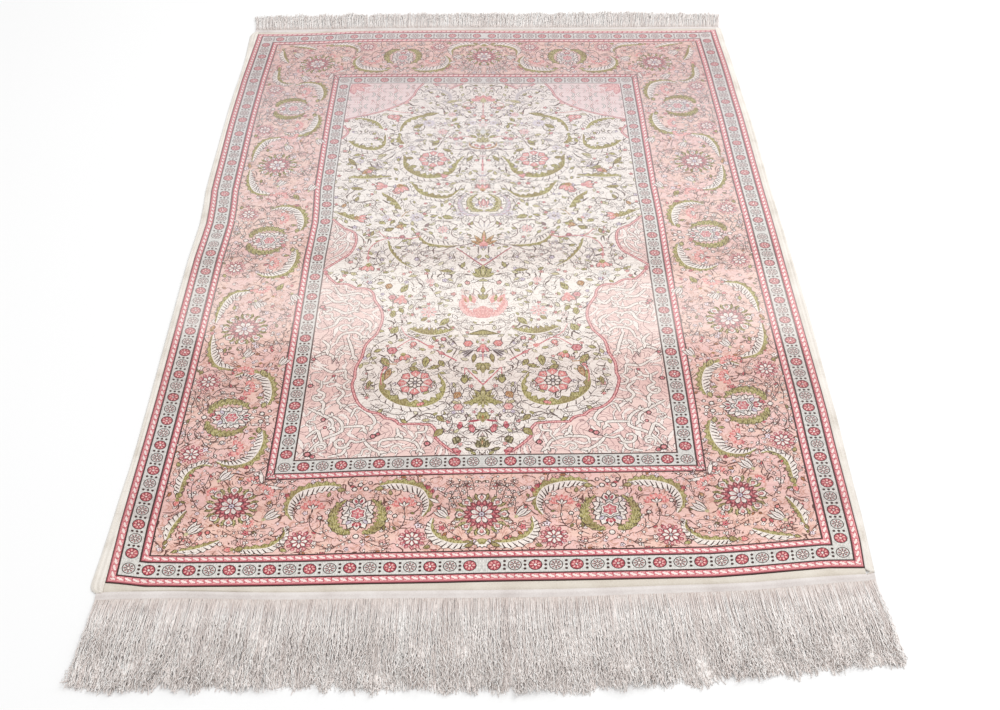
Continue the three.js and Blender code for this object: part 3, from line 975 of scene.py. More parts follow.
SMALL_LEAVES = [  # place, turn, length, width, and the dye if it isn't olive
    (-161-309j, 300, 26, 12), (-149-253j, 60, 20, 14), (-174-295j, 20, 13, 7),
    (-184-308j, 70, 12, 6, "sage"), (-90-310j, 265, 26, 11), (-146-336j, 255, 26, 10, "amber"),
    (-116-334j, 330, 17, 10), (-70-320j, 300, 17, 9), (-84-338j, 20, 18, 8),
    (-62-288j, 160, 18, 8, "sage"), (-176-360j, 260, 20, 6), (-36-392j, 240, 17, 13, "amber"),
    (-48-412j, 330, 14, 6, "sage"), (-128-268j, 200, 10, 6, "sage"), (-60-470j, 230, 20, 12),
    (-36-486j, 250, 17, 13, "moss"), (-26-510j, 340, 15, 6, "moss"), (-70-442j, 310, 17, 9),
    (-124-448j, 320, 13, 6), (-92-452j, 10, 12, 6, "sage"), (-56-219j, 230, 24, 12),
    (-102-224j, 40, 14, 8), (-138-150j, 62, 24, 11), (-139-190j, 300, 15, 8),
    (-157-126j, 250, 15, 12, "amber"), (-52-96j, 175, 24, 8), (-38-88j, 70, 18, 7),
    (-82-156j, 30, 14, 6, "sage"), (-112-106j, 190, 16, 6, "sage"), (-216-100j, 150, 13, 8, "sage"),
    (-180-126j, 20, 14, 7, "sage"), (-60-116j, 320, 12, 5, "sage"), (-200+6j, 80, 16, 6),
    (-176+20j, 30, 17, 11), (-190+48j, 330, 15, 9), (-162+52j, 240, 14, 7), (-128+34j, 100, 15, 6, "sage"),
    (-106+30j, 60, 13, 6, "walnut"), (-98+60j, 20, 15, 6), (-76+62j, 340, 22, 12),
    (-86+92j, 200, 14, 7, "sage"), (-234+110j, 70, 16, 7), (-258+92j, 60, 14, 8, "amber"),
    (-244+152j, 350, 26, 10), (-226+196j, 40, 34, 13, "amber"), (-240+224j, 120, 30, 10),
    (-216+218j, 340, 18, 9), (-140+150j, 120, 14, 7), (-72+100j, 60, 16, 6, "sage"),
    (-60+270j, 150, 20, 9), (-96+290j, 60, 24, 11), (-124+222j, 200, 18, 10), (-132+246j, 160, 14, 9),
    (-30+236j, 60, 24, 8), (-60+160j, 30, 14, 6, "sage"), (-132+306j, 20, 22, 8, "mist"),
    (-176+300j, 80, 16, 7), (-110+330j, 350, 14, 7, "sage"), (-120+400j, 15, 34, 12),
    (-136+352j, 40, 26, 11), (-60+376j, 60, 18, 8), (-74+448j, 20, 26, 10, "sage"), (-44+434j, 340, 18, 7),
    (-46+352j, 100, 16, 7), (-170+388j, 200, 12, 7, "sage"), (-26+444j, 60, 14, 6, "sage"),
    (-232+262j, 200, 15, 8), (-200+254j, 20, 20, 9, "sage"), (-24+190j, 80, 14, 6, "sage"),
    (-12+318j, 140, 16, 7),
]
for at, turn, length, width, *dye in SMALL_LEAVES:
    vein = "moss" if length > 16 else None
    put(leaf, at, turn, length=length, width=width, dye=dye[0] if dye else "olive", vein=vein)
print(len(stack), "patches with vines and leaves")

# %% Red vines of the field
stem([0-83j, -18-64j, -34-46j, -48-32j], 2.8, "madder")
stem([-12-14j, -34-24j, -53-27j, -74-40j, -92-38j, -104-44j], 2.0)
stem([-14-4j, -40-6j, -56+4j, -57+20j, -48+34j], 2.0)
stem([-112+4j, -128-3j, -149-1j, -169-1j, -189-12j, -200-34j, -199-66j], 2.6, "rose")
stem([-169-1j, -180+8j, -188+20j], 2.0, "rose")
stem([-48+34j, -70+46j, -96+48j], 1.8)
stem([-42-322j, -70-300j, -90-284j, -112-268j, -130-280j, -146-296j], 2.6, "rose")
stem([-112-268j, -126-256j, -134-236j], 1.8, "rose")
stem([-136-326j, -150-324j, -158-316j], 2.4, "amber")
stem([0-377j, -14-358j, -28-338j], 2.6, "rose")
stem([-29-338j, -29-358j], 1.8, "rose")
stem([0-300j, 0-324j], 2.2, "rose")
stem([0-150j, 0-116j], 1.8, "moss")
stem([0+204j, 0+246j], 3.6, "rose")
stem([-66+322j, -52+316j, -36+324j, -20+318j], 2.4, "rose")
stem([-98+292j, -80+304j, -66+322j], 1.8)
stem([0+396j, 0+448j], 2.0, "rose")
stem([-190+420j, -166+412j, -140+408j], 2.2, "coral")
stem([-20+286j, -44+276j, -66+282j], 2.2)
stem([-150+60j, -140+76j, -128+80j], 1.6, "amber")
stem([-14+436j, -30+448j, -40+440j, -36+424j, -26+422j], 1.6, "rose")
stem([-140-196j, -152-206j, -150-180j, -153-162j], 1.6)

# %% Flowers on top
put(peony, -106-369j)
put(peony, -94+244j)
for at, radius, dye in (
    (-90-202j, 15, "pink"), (-90-122j, 8, "pink"), (-199-109j, 11, "pearl"), (-122+59j, 13, "lilac"),
    (-74+22j, 11, "pink"), (-106+371j, 13, "lilac"), (-78+340j, 11, "pink"), (-61+403j, 9, "pink"),
    (-128-214j, 9, "blush"), (-214+46j, 10, "ivory"), (-48+300j, 10, "pearl"), (-178+60j, 8, "lilac"),
    (-46+296j, 8, "blush"), (-20+372j, 8, "lilac"), (-136+282j, 8, "lilac"), (-232+238j, 8, "lilac"),
    (-30-150j, 9, "blush"), (-44+68j, 9, "lilac"),
):
    put(star, at, radius=radius, dye=dye, heart="rose" if dye == "pink" else "walnut")
for at, radius, dye, heart in (
    (-145-294j, 8.5, "rose", "madder"), (-112-280j, 6, "coral", "ivory"), (-38-425j, 8, "pink", "rose"),
    (-145+2j, 5.5, "madder", "rose"), (-152-162j, 7, "rose", "madder"), (-30+427j, 6, "coral", "amber"),
    (-158+140j, 9, "coral", "rose"), (-24-282j, 8, "coral", "rose"), (-172+392j, 10, "coral", "ivory"),
    (-182+394j, 8, "coral", "ivory"), (-212+204j, 6, "coral", "rose"), (-64-270j, 5, "rose", "ivory"),
    (-118+10j, 5, "rose", "madder"), (-52+314j, 6, "rose", "madder"),
):
    put(flower, at, radius=radius, dye=dye, heart=heart)
for at, turn, size, dye, cup in (
    (-197-72j, 265, 1.1, "coral", "olive"), (-128-302j, 290, 0.9, "coral", "olive"),
    (-136-160j, 262, 1.15, "coral", "coral"), (-86-288j, 10, 1.0, "ivory", "coral"),
    (-178+156j, 175, 1.15, "coral", "rose"), (-154+160j, 285, 1.35, "coral", "amber"),
    (-232+60j, 350, 1.1, "coral", "amber"), (-42-4j, 20, 1.0, "ivory", "mist"),
    (-66+190j, 200, 0.7, "rose", "amber"),
):
    put(bell, at, turn, size, dye=dye, cup=cup)
for at, turn, size, dye, cup in (
    (-142+36j, 200, 1.5, "amber", "olive"), (-148-198j, 265, 1.3, "olive", "olive"),
    (-29-356j, 270, 1.5, "olive", "moss"), (-100-418j, 20, 0.9, "coral", "coral"),
    (-74+186j, 20, 0.9, "coral", "coral"), (-34-458j, 265, 1.1, "madder", "rose"),
    (-18-464j, 285, 1.3, "rose", "madder"), (-10-430j, 250, 0.9, "madder", "umber"),
    (-8+150j, 100, 1.0, "coral", "coral"), (-124+330j, 140, 0.9, "rose", "olive"),
):
    put(bud, at, turn, size, dye=dye, cup=cup)

# %% The axis of the field
put(hanging_lotus, -187j)
put(olive_lotus, -100j, 90, width=34, height=36)
put(olive_lotus, -8j, 90, width=26, height=44, dye="amber", heart="coral")
fan_spreads = (-70, -110, -90)
with moved(-12j):
    fan("rose", fan_spreads, 0, 18, 8, 0.6)
    fan("coral", fan_spreads, 1, 15, 5, 0.6)
with moved(16j, 90):
    fan("walnut", (-34, 34, -12, 12), 0, 38, 12, 0.62)
    fan("ivory", (-34, 34, -12, 12), 1, 35, 9, 0.62)
    fan("mist", (-24, 24, 0), 8, 18, 3, 0.6, 4)
with moved(-264j, 90):
    lay("moss", [4+28j, 14+6j, 16, 14-6j, 4-28j, 2-10j, 2+10j])
    lay("olive", [5+24j, 12+6j, 13, 12-6j, 5-24j, 4-10j, 4+10j])
put(star, -274j, radius=9, dye="ivory", heart="rose")
put(bell, -286j, 270, 1.0, dye="rose", cup="coral")
for turn in (200, 214, 228):
    put(leaf, -14-296j, turn, length=24, width=4, dye="umber", line="mist")
put(leaf, -13-306j, 262, length=22, width=7)
put(olive_lotus, -338j, 270, width=30, height=24)
put(olive_lotus, -398j, 90, width=26, height=34)
saz([-4-402j, -16-414j, -30-416j], 12, 0.6, inside="olive", strokes=0)
put(olive_lotus, -418j, 270, width=16, height=20)
put(olive_lotus, -446j, 270, width=34, height=22, heart="amber")
put(star, -14-436j, radius=8, dye="ivory", heart="madder")
lay("madder", petal(22, 5, 0.5), -24-456j, 8)
lay("umber", lobed(8.6, 5, 0.1, 3, 90), -479j)
lay("blush", lobed(7.2, 5, 0.1, 3, 90), -479j)
for turn in (215, 325, 245, 295):
    lay("umber", petal(18, 6, 0.5), -474j, turn)
    lay("ivory", petal(15.6, 3.8, 0.5), -475j, turn)
put(olive_lotus, -500j, 90, width=26, height=22, dye="moss", heart="amber")
put(heart_palmette, 103j)
put(bell, 140j, 90, 1.1, dye="coral", cup="amber")
put(star, 172j, radius=9, dye="blush", heart="rose")
put(star, 196j, radius=8, dye="ivory", heart="rose")
put(star, 252j, radius=9, dye="blush", heart="madder")
with moved(284j):
    for _ in both_hands():
        saz([0-6j, 16-4j, 26+6j, 26+20j], 10, 0.5, "amber", "ivory", 4)
        put(bud, 8+4j, 40, 0.9, dye="coral", cup="madder")
put(bud, 280j, 90, 1.2, dye="rose", cup="madder")
put(olive_lotus, 312j, 90, width=26, height=26, dye="sage", heart="olive")
put(leaf, 328j, 90, length=26, width=12, dye="pearl", line="sage")
put(star, 366j, radius=10, dye="blush", heart="mist")
put(bud, 388j, 90, 1.2, dye="coral", cup="amber")
with moved(450j, 90):
    fan("rose", (-64, 64, -32, 32, 0), 4, 24, 12, 0.66)
    fan("coral", (-64, 64, -32, 32, 0), 5, 21, 9, 0.66)
    lay("sage", petal(22, 12, 0.4), -4)
put(leaf, 486j, 90, length=24, width=9, dye="pearl", line="sage")
print(len(stack), "patches in all,", sum(len(outline) for _, outline in stack), "points")

# %% [markdown]
# ## From paper cut-outs to a mesh
# A constrained Delaunay triangulation cuts a plane along any set of lines, so every outline becomes
# mesh edges. Its time grows with the square of the number of points, so the left half of the rug is
# cut in square tiles. The first cut of a tile shows which lines really part two dyes, and the second
# cut keeps only those, which drops everything that is hidden under another patch.

# %% Cutting one tile
TILE = 100.0  # side of a tile in mm
RINGS = (57.0, 188.5)  # the three nested pieces of the pile meet along these insets from its edge, in mm
SNAP = 0.02  # points on a tile's border closer than this are one point, in mm
ON_BORDER = 1e-3  # a point this near a border counts as on it, in mm
WELD = 0.005  # tiles are joined where their points are this near, in mm
RIM_POINTS, GRID_POINTS = 9, 4  # extra points along each side of a tile, and each way across it
LONGEST = 15.0  # no straight line of the pattern is longer, so that it can follow the edges, in mm


def clipped(start, end, low, high):
    """The parts of many straight lines that lie inside a box (Liang and Barsky)."""
    step = end - start
    t0, t1 = np.zeros(len(start)), np.ones(len(start))
    for axis in (0, 1):
        d = np.where(np.abs(step[:, axis]) < 1e-12, 1e-12, step[:, axis])
        near, far = (low[axis] - start[:, axis]) / d, (high[axis] - start[:, axis]) / d
        t0 = np.maximum(t0, np.minimum(near, far))
        t1 = np.minimum(t1, np.maximum(near, far))
    keep = t1 - t0 > 1e-9
    a = start + step * t0[:, None]
    b = start + step * t1[:, None]
    return np.stack([a, b], axis=1)[keep]


def ring_of(points):
    """0 in the outer stripes, 1 in the main border and 2 in the field with its own stripes."""
    inset = np.minimum(HALF_W - np.abs(points[:, 0]), HALF_L - np.abs(points[:, 1]))
    return np.searchsorted(RINGS, inset)


def dye_at(points, patches):
    """The dye of the topmost patch over each point, by the even-odd rule."""
    dye = np.full(len(points), -1)
    x, y = points[:, 0], points[:, 1]
    for number, outline, low, high in patches:
        near = (x > low[0]) & (x < high[0]) & (y > low[1]) & (y < high[1])
        if not near.any():
            continue
        px, py = x[near, None], y[near, None]
        a, b = outline, np.roll(outline, -1, axis=0)
        spans = (a[:, 1] > py) != (b[:, 1] > py)
        with np.errstate(divide="ignore", invalid="ignore"):
            cross = a[:, 0] + (py - a[:, 1]) * (b[:, 0] - a[:, 0]) / (b[:, 1] - a[:, 1])
        inside = (spans & (px < cross)).sum(axis=1) % 2 == 1
        dye[np.flatnonzero(near)[inside]] = number
    return dye


def cut(lines, extra):
    """Triangulates along lines, each a pair of points, and through some extra points."""
    points = np.round(np.concatenate([lines.reshape(-1, 2), extra]), 5)
    points, index = np.unique(points, axis=0, return_inverse=True)
    pairs = index[: 2 * len(lines)].reshape(-1, 2)
    pairs = pairs[pairs[:, 0] != pairs[:, 1]]
    made = delaunay_2d_cdt([Vector(p) for p in points], pairs.tolist(), [], 0, 1e-4, False)
    return np.array([tuple(v) for v in made[0]]), np.array(made[2])


patches = []
for number, outline in stack:
    corners = np.column_stack([outline.real, outline.imag])
    patches.append((number, corners, corners.min(0), corners.max(0)))
ring_lines = []
for inset in RINGS:
    x, y = HALF_W - inset, HALF_L - inset
    ring_lines.append(np.array([[-x, -y], [x, -y], [x, y], [-x, y]]))
print("cutting", len(patches), "patches")

# %% First cut: find the lines that part two dyes
tiles = {}
for i in range(int(HALF_W / TILE)):
    for j in range(int(LENGTH / TILE)):
        low = np.array([-HALF_W + i * TILE, -HALF_L + j * TILE])
        high = low + TILE
        near = [p for p in patches if (p[2] < high).all() and (p[3] > low).all()]
        start = np.concatenate([*(p[1] for p in near), *ring_lines])
        end = np.concatenate([np.roll(a, -1, axis=0) for a in (*(p[1] for p in near), *ring_lines)])
        box = np.array([low, [high[0], low[1]], high, [low[0], high[1]]])
        frame_lines = np.stack([box, np.roll(box, -1, axis=0)], axis=1)
        lines = np.concatenate([clipped(start, end, low, high), frame_lines])
        points, triangles = cut(lines, np.zeros((0, 2)))
        middles = points[triangles].mean(axis=1)
        kind = dye_at(middles, near) + len(DYES) * ring_of(middles)
        sides = np.concatenate([triangles[:, [0, 1]], triangles[:, [1, 2]], triangles[:, [2, 0]]])
        owner = np.tile(kind, 3)
        key, where = np.unique(np.sort(sides, axis=1), axis=0, return_inverse=True)
        most, least = np.full(len(key), -9), np.full(len(key), 999)
        np.maximum.at(most, where.ravel(), owner)
        np.minimum.at(least, where.ravel(), owner)
        on_rim = np.concatenate([np.abs(points - low), np.abs(points - high)], axis=1) < ON_BORDER
        along_rim = (on_rim[key[:, 0]] & on_rim[key[:, 1]]).any(axis=1)
        kept = key[(most != least) & ~along_rim]
        tiles[i, j] = {"low": low, "high": high, "near": near, "lines": points[kept]}
print("first cut:", sum(len(t["lines"]) for t in tiles.values()), "lines that part two dyes")

# %% Second cut: the same border points on both sides of every tile border
borders = {}
for t in tiles.values():
    for axis in (0, 1):
        for value in (t["low"][axis], t["high"][axis]):
            ends = t["lines"].reshape(-1, 2)
            on = np.abs(ends[:, axis] - value) < ON_BORDER
            borders.setdefault((axis, value), []).extend(ends[on, 1 - axis])
            spread = np.linspace(t["low"][1 - axis], t["high"][1 - axis], RIM_POINTS)
            borders[axis, value].extend(spread)
for key, values in borders.items():
    values = np.sort(values)
    borders[key] = values[np.concatenate([[True], np.diff(values) > SNAP])]


def shared_out(lines):
    """Long lines split into equal short ones, so that they can follow the wandering edges."""
    count = np.ceil(np.hypot(*(lines[:, 1] - lines[:, 0]).T) / LONGEST).astype(int)
    parts = [lines[count <= 1]]
    for n in np.unique(count[count > 1]):
        start, step = lines[count == n, 0], (lines[count == n, 1] - lines[count == n, 0]) / n
        parts += [np.stack([start + k * step, start + (k + 1) * step], axis=1) for k in range(n)]
    return np.concatenate(parts)


flat_points, flat_triangles, flat_dye, offset = [], [], [], 0
for (i, j), t in tiles.items():
    low, high = t["low"], t["high"]
    lines = t["lines"].copy()
    rim = []
    for axis in (0, 1):
        for value in (low[axis], high[axis]):
            places_on = borders[axis, value]
            places_on = places_on[(places_on > low[1 - axis] - SNAP) & (places_on < high[1 - axis] + SNAP)]
            ends = lines.reshape(-1, 2)
            on = np.abs(ends[:, axis] - value) < ON_BORDER
            nearest = np.abs(ends[on, 1 - axis, None] - places_on).argmin(axis=1) if on.any() else []
            ends[on, 1 - axis] = places_on[nearest] if on.any() else 0
            ends[on, axis] = value
            corner = np.empty((len(places_on), 2))
            corner[:, axis], corner[:, 1 - axis] = value, places_on
            rim.append(np.stack([corner[:-1], corner[1:]], axis=1))
    steps = (np.arange(GRID_POINTS) + 0.5) * TILE / GRID_POINTS
    grid = low + np.stack(np.meshgrid(steps, steps), -1).reshape(-1, 2)
    points, triangles = cut(np.concatenate([shared_out(lines), *rim]), grid)
    flat_points.append(points)
    flat_triangles.append(triangles + offset)
    flat_dye.append(dye_at(points[triangles].mean(axis=1), t["near"]))
    offset += len(points)
flat_points, flat_triangles, flat_dye = (np.concatenate(a) for a in (flat_points, flat_triangles, flat_dye))
key, first, where = np.unique(np.round(flat_points / WELD), axis=0, return_index=True, return_inverse=True)
half_points, half_triangles = flat_points[first], where.ravel()[flat_triangles]
proper = (half_triangles != np.roll(half_triangles, 1, axis=1)).all(axis=1)
half_triangles, half_dye = half_triangles[proper], flat_dye[proper]
print("left half:", len(half_points), "points,", len(half_triangles), "triangles")
# %% [markdown]
# ## How a finish is written
# A finish is a tree of nodes, and one function adds all of them. The finish of the pile needs many
# small formulas, so an output of a node is wrapped as a Wire: a formula can then be written as one,
# and each of its steps becomes a Math node.

# %% Nodes as formulas
def linear(code):
    """A plain sRGB colour code as the linear colour that a shader wants."""
    parts = [int(code[k: k + 2], 16) / 255 for k in (0, 2, 4)]
    return (*(c / 12.92 if c <= 0.04045 else ((c + 0.055) / 1.055) ** 2.4 for c in parts), 1.0)


def add(tree, kind, inputs=None, **settings):
    """Adds a node with its settings, sets or links its inputs, and gives its first output as a Wire."""
    node = tree.nodes.new(kind)
    for name, value in settings.items():
        setattr(node, name, value)
    for name, value in (inputs or {}).items():
        if isinstance(value, Wire):
            tree.links.new(value.socket, node.inputs[name])
        else:
            node.inputs[name].default_value = value
    return Wire(node.outputs[0]) if node.outputs else None


class Wire:
    """An output of a node: formulas with it add Math nodes, and [name] is another output of its node."""

    def __init__(self, socket):
        self.socket = socket

    def __getitem__(self, name):
        return Wire(self.socket.node.outputs[name])

    def maths(self, operation, *others):
        values = dict(enumerate([self, *others]))
        return add(self.socket.id_data, "ShaderNodeMath", values, operation=operation)

    def __add__(self, other):
        return self.maths("ADD", other)

    def __sub__(self, other):
        return self.maths("SUBTRACT", other)

    def __mul__(self, other):
        return self.maths("MULTIPLY", other)

    def __truediv__(self, other):
        return self.maths("DIVIDE", other)

    def __lt__(self, other):
        return self.maths("LESS_THAN", other)

    def __gt__(self, other):
        return self.maths("GREATER_THAN", other)

    def __abs__(self):
        return self.maths("ABSOLUTE")


def blend(tree, share, first, second, mode="MIX"):
    """Two colours mixed: share is how much of the second there is."""
    inputs = {0: share, 6: first, 7: second}
    return add(tree, "ShaderNodeMix", inputs, data_type="RGBA", blend_type=mode)[2]


def ramp(tree, value, stops, constant=False):
    """A colour or number for each value, from stops of (place, sRGB code or plain number)."""
    graded = add(tree, "ShaderNodeValToRGB", {"Fac": value})
    scale = graded.socket.node.color_ramp
    scale.interpolation = "CONSTANT" if constant else "LINEAR"
    scale.elements.remove(scale.elements[1])
    for k, (place, code) in enumerate(stops):
        element = scale.elements[0] if k == 0 else scale.elements.new(place)
        element.position = place
        element.color = linear(code) if isinstance(code, str) else (code, code, code, 1)
    return graded


def new_material(name):
    """A material with nothing in it yet."""
    material = bpy.data.materials.new(name)
    material.use_nodes = True
    material.node_tree.nodes.clear()
    return material, material.node_tree


def surface(tree, inputs):
    """Ends a material with a Principled shader."""
    shader = add(tree, "ShaderNodeBsdfPrincipled", inputs)
    add(tree, "ShaderNodeOutputMaterial", {"Surface": shader})


# %% [markdown]
# ## The finish of the pile
# Silk pile has a soft sheen and changes from batch to batch. The large motifs are real faces, and each
# face knows its dye. The smallest ones, hair-thin twigs, blossoms a few knots wide and the strokes of
# the braids, are painted by the material instead, and only on the ground dyes. All of them are worked
# out from the weave map, snapped to single knots of one millimetre and mirrored left to right, as the
# design is. A scatter of cells gives each blossom its own place, turn and colour. Lines are the level
# lines of a smooth noise.

# %% Small painted motifs
KNOT = 0.001


def scatter(tree, place, spacing, seed):
    """One cell about every spacing mm: the turned place inside it in mm, and its random numbers."""
    shift = (seed * 0.371, seed * 0.613, 0)
    place = add(tree, "ShaderNodeVectorMath", {0: place, 1: shift}, operation="ADD")
    inputs = {"Vector": place, "Scale": 1000 / spacing, "Randomness": 0.85}
    cells = add(tree, "ShaderNodeTexVoronoi", inputs, voronoi_dimensions="2D")
    local = add(tree, "ShaderNodeVectorMath", {0: place, 1: cells["Position"]}, operation="SUBTRACT")
    random = add(tree, "ShaderNodeSeparateColor", {"Color": cells["Color"]})
    inputs = {"Vector": local, "Angle": random[0] * (2 * math.pi)}
    turned = add(tree, "ShaderNodeVectorRotate", inputs, rotation_type="Z_AXIS")
    parts = add(tree, "ShaderNodeSeparateXYZ", {"Vector": turned})
    return parts["X"] * 1000, parts["Y"] * 1000, random


def petals(x, y, radius, count=5, depth=0.3):
    """How far outside a little flower a point is, in mm; it is negative inside."""
    away = (x * x + y * y).maths("SQRT")
    wave = (y.maths("ARCTAN2", x) * count).maths("COSINE")
    return away - (wave * depth + 1) * radius


def blade(x, y, length, width):
    """How far outside a pointed leaf a point is, in mm; it is negative inside."""
    share = x / (length / 2)
    return abs(y) - (share * share * (-width / 2) + width / 2)


def level_line(tree, place, scale, seed, distortion):
    """How far, in mm, a point lies from the nearest line where a smooth noise has its middle value."""
    def noise(step_x, step_y):
        shift = (seed * 0.73 + step_x, seed * 0.29 + step_y, 0)
        at = add(tree, "ShaderNodeVectorMath", {0: place, 1: shift}, operation="ADD")
        inputs = {"Vector": at, "Scale": scale, "Detail": 0.0, "Distortion": distortion}
        return add(tree, "ShaderNodeTexNoise", inputs, noise_dimensions="2D")

    here = noise(0, 0)
    rise_x, rise_y = noise(KNOT, 0) - here, noise(0, KNOT) - here
    slope = (rise_x * rise_x + rise_y * rise_y).maths("SQRT")
    return abs(here - 0.5) / slope.maths("MAXIMUM", scale * 0.00035)


def paint(tree, under, distance, limit, dye):
    """Paints a dye wherever a distance is below a limit."""
    return blend(tree, distance < limit, under, linear(dye) if isinstance(dye, str) else dye)


def picked(tree, value, codes):
    """One of several dyes, by a number from 0 to 1."""
    return ramp(tree, value, [(k / len(codes), code) for k, code in enumerate(codes)], True)


def sprinkle(tree, under, place, spacing, seed, size, fills, line, kind):
    """Small outlined flowers or leaves, one about every spacing mm."""
    x, y, random = scatter(tree, place, spacing, seed)
    grow = random[2] * 0.6 + 0.7
    x, y = x / grow, y / grow
    if kind == "flower":
        away = petals(x, y, size)
        heart = petals(x, y, size * 0.3, 4, 0.0)
    else:
        away = blade(x, y, size * 3.4, size * 1.5)
        heart = blade(x, y, size * 2.4, 0.5)
    colour = paint(tree, under, away, 1.0, line)
    colour = paint(tree, colour, away, 0.0, picked(tree, random[1], fills))
    return paint(tree, colour, heart, 0.0, line)


def pen_width(tree, place, scale, width):
    """Half the width of a drawn line, which swells and runs out along its way, in mm."""
    inputs = {"Vector": place, "Scale": scale, "Detail": 0.0}
    press = add(tree, "ShaderNodeTexNoise", inputs, noise_dimensions="2D")
    return press * (6 * width) - 2.2 * width


# %% Grounds
def border_ground(tree, place):
    """Salmon ground with thin dark twigs, small leaves and white and pink blossoms."""
    inputs = {"Vector": place, "Scale": 18.0, "Detail": 2.0}
    cloud = add(tree, "ShaderNodeTexNoise", inputs, noise_dimensions="2D")
    colour = ramp(tree, cloud, [(0.36, "f2ccc8"), (0.5, "f3d1ca"), (0.62, "f4d2c5")])
    for line_scale, seed, distortion, pen_scale, width, dye in (
        (52.0, 2, 2.4, 90.0, 0.7, "d8aa9c"), (30.0, 1, 2.2, 70.0, 0.5, "6a4238"),
    ):
        pen = pen_width(tree, place, pen_scale, width)
        colour = paint(tree, colour, level_line(tree, place, line_scale, seed, distortion), pen, dye)
    for spacing, seed, size, fills, line, kind in (
        (27.0, 3, 2.0, ("fbf3ee", "b9794a", "fbf3ee", "d8606a", "8f8a4c"), "4c2a22", "leaf"),
        (20.0, 4, 2.2, ("fdf7f3", "f6e9f2", "fdf7f3", "f3d2cc"), "5a362c", "flower"),
        (38.0, 5, 3.2, ("fdf7f3", "da757d", "f1e6f0", "eebab4"), "4c2a22", "flower"),
    ):
        colour = sprinkle(tree, colour, place, spacing, seed, size, fills, line, kind)
    return colour


def corner_ground(tree, place):
    """Blush ground with white split leaves that swell and taper between dark lines."""
    inputs = {"Vector": place, "Scale": 12.0, "Detail": 2.0}
    cloud = add(tree, "ShaderNodeTexNoise", inputs, noise_dimensions="2D")
    colour = ramp(tree, cloud, [(0.35, "f2d1cb"), (0.6, "f7ded7")])
    colour = paint(tree, colour, level_line(tree, place, 44.0, 7, 1.8), 0.5, "a98688")
    inputs = {"Vector": place, "Scale": 60.0, "Detail": 0.0}
    swell = add(tree, "ShaderNodeTexNoise", inputs, noise_dimensions="2D")
    outside = level_line(tree, place, 21.0, 6, 1.6) - (swell * 7.0 - 2.2)
    return paint(tree, paint(tree, colour, outside, 0.75, "614547"), outside, 0.0, "fbf5f0")


def field_ground(tree, place):
    """Ivory ground with fine grey vines, outlined leaves and a few small flowers."""
    colour = paint(tree, linear("f8f4ee"), level_line(tree, place, 46.0, 13, 2.0), 0.45, "d3c8c2")
    pen = pen_width(tree, place, 60.0, 0.56)
    colour = paint(tree, colour, level_line(tree, place, 17.0, 8, 1.8), pen, "5f4c46")
    for spacing, seed, size, fills, line, kind in (
        (19.0, 10, 3.0, ("fdfbf7", "fdfbf7", "f6f0ea", "e3dfc4"), "5c4a45", "leaf"),
        (31.0, 11, 2.7, ("fdfbf7", "f0b6b2", "d8d0e2", "e8a09f"), "5c4544", "flower"),
        (34.0, 12, 2.6, ("bcb882", "d4d0a8", "b6b078", "c9c592"), "5a5232", "leaf"),
    ):
        colour = sprinkle(tree, colour, place, spacing, seed, size, fills, line, kind)
    return colour


BRAID_HALF, BRAID_STEP = 4.4, 10.6  # half the width of a braid and the distance of its eyes, in mm


def braid_ground(tree, parts):
    """The braid of the guard stripes: pink, with white slanted eyes and red strokes between them."""
    from_side = abs(parts["X"]) * -1000.0 + HALF_W
    from_end = abs(parts["Y"]) * -1000.0 + HALF_L
    inset = from_side.maths("MINIMUM", from_end)
    run = add(tree, "ShaderNodeMix", {0: from_side < from_end, 2: parts["X"], 3: parts["Y"]})
    first, second, third = BRAIDS
    middle = (inset > 25.0) * (second - first) + first
    middle = (inset > 100.0) * (third - second) + middle
    across = (inset - middle) / BRAID_HALF
    turn = (run * (1000 / BRAID_STEP) + across * 0.5).maths("FRACT") - 0.5
    eye_x, eye_y = turn / 0.34, across / 0.6
    eye = eye_x * eye_x + eye_y * eye_y
    colour = paint(tree, linear("efa9ac"), eye, 1.9, "c65f6d")
    colour = paint(tree, colour, eye, 1.0, "fceeeb")
    return paint(tree, colour, abs(across) * -1.0, -0.92, "b85f6b")


# %% Silk pile finish
STROKES = [  # first and last dye, lighter knots, darker knots, how strong
    ("ivory", "ivory", "fffdfa", "cfc1ba", 0.5),
    ("pearl", "lilac", "f6f4f2", "b3acae", 0.35),
    ("garnet", "madder", "e08e92", "6f2636", 0.45),
    ("rose", "pink", "fae0da", "a8404f", 0.42),
    ("olive", "moss", "d6d0a4", "544b24", 0.6),
    ("sage", "amber", "e8dfba", "74693a", 0.5),
]
PAINTED_SHEEN = [  # painted sheen: how pale the silk is painted where its nap catches the light, from the front of the rug at 0 to the back at 1
    (0.0, 0.0), (0.2, 0.04), (0.31, 0.1), (0.35, 0.36), (0.41, 0.32), (0.46, 0.18), (0.55, 0.26),
    (0.7, 0.28), (0.85, 0.34), (0.93, 0.24), (1.0, 0.28),
]
# the pale colours that the painted sheen goes towards, from front to back
PAINTED_SHEEN_TO = [(0.0, "f8e9e3"), (0.6, "f5ebe8"), (0.8, "efe6e6"), (1.0, "eadfe0")]
BATCH_BANDS_AND_PAINTED_SHADE = [  # the shade of each batch of silk, together with painted shade where the nap leans away from the light, from front to back
    (0.0, "fbf4f1"), (0.07, "f6eeea"), (0.09, "e8dcd9"), (0.12, "f0e7e5"), (0.2, "f3edeb"),
    (0.25, "e8dedb"), (0.3, "f0e7e4"), (0.35, "fdfaf8"), (0.43, "fbf8f6"), (0.47, "ece5e3"),
    (0.52, "f7f4f3"), (0.75, "f1edee"), (0.9, "e4dcdc"), (0.96, "e8dfde"), (1.0, "efe8e8"),
]


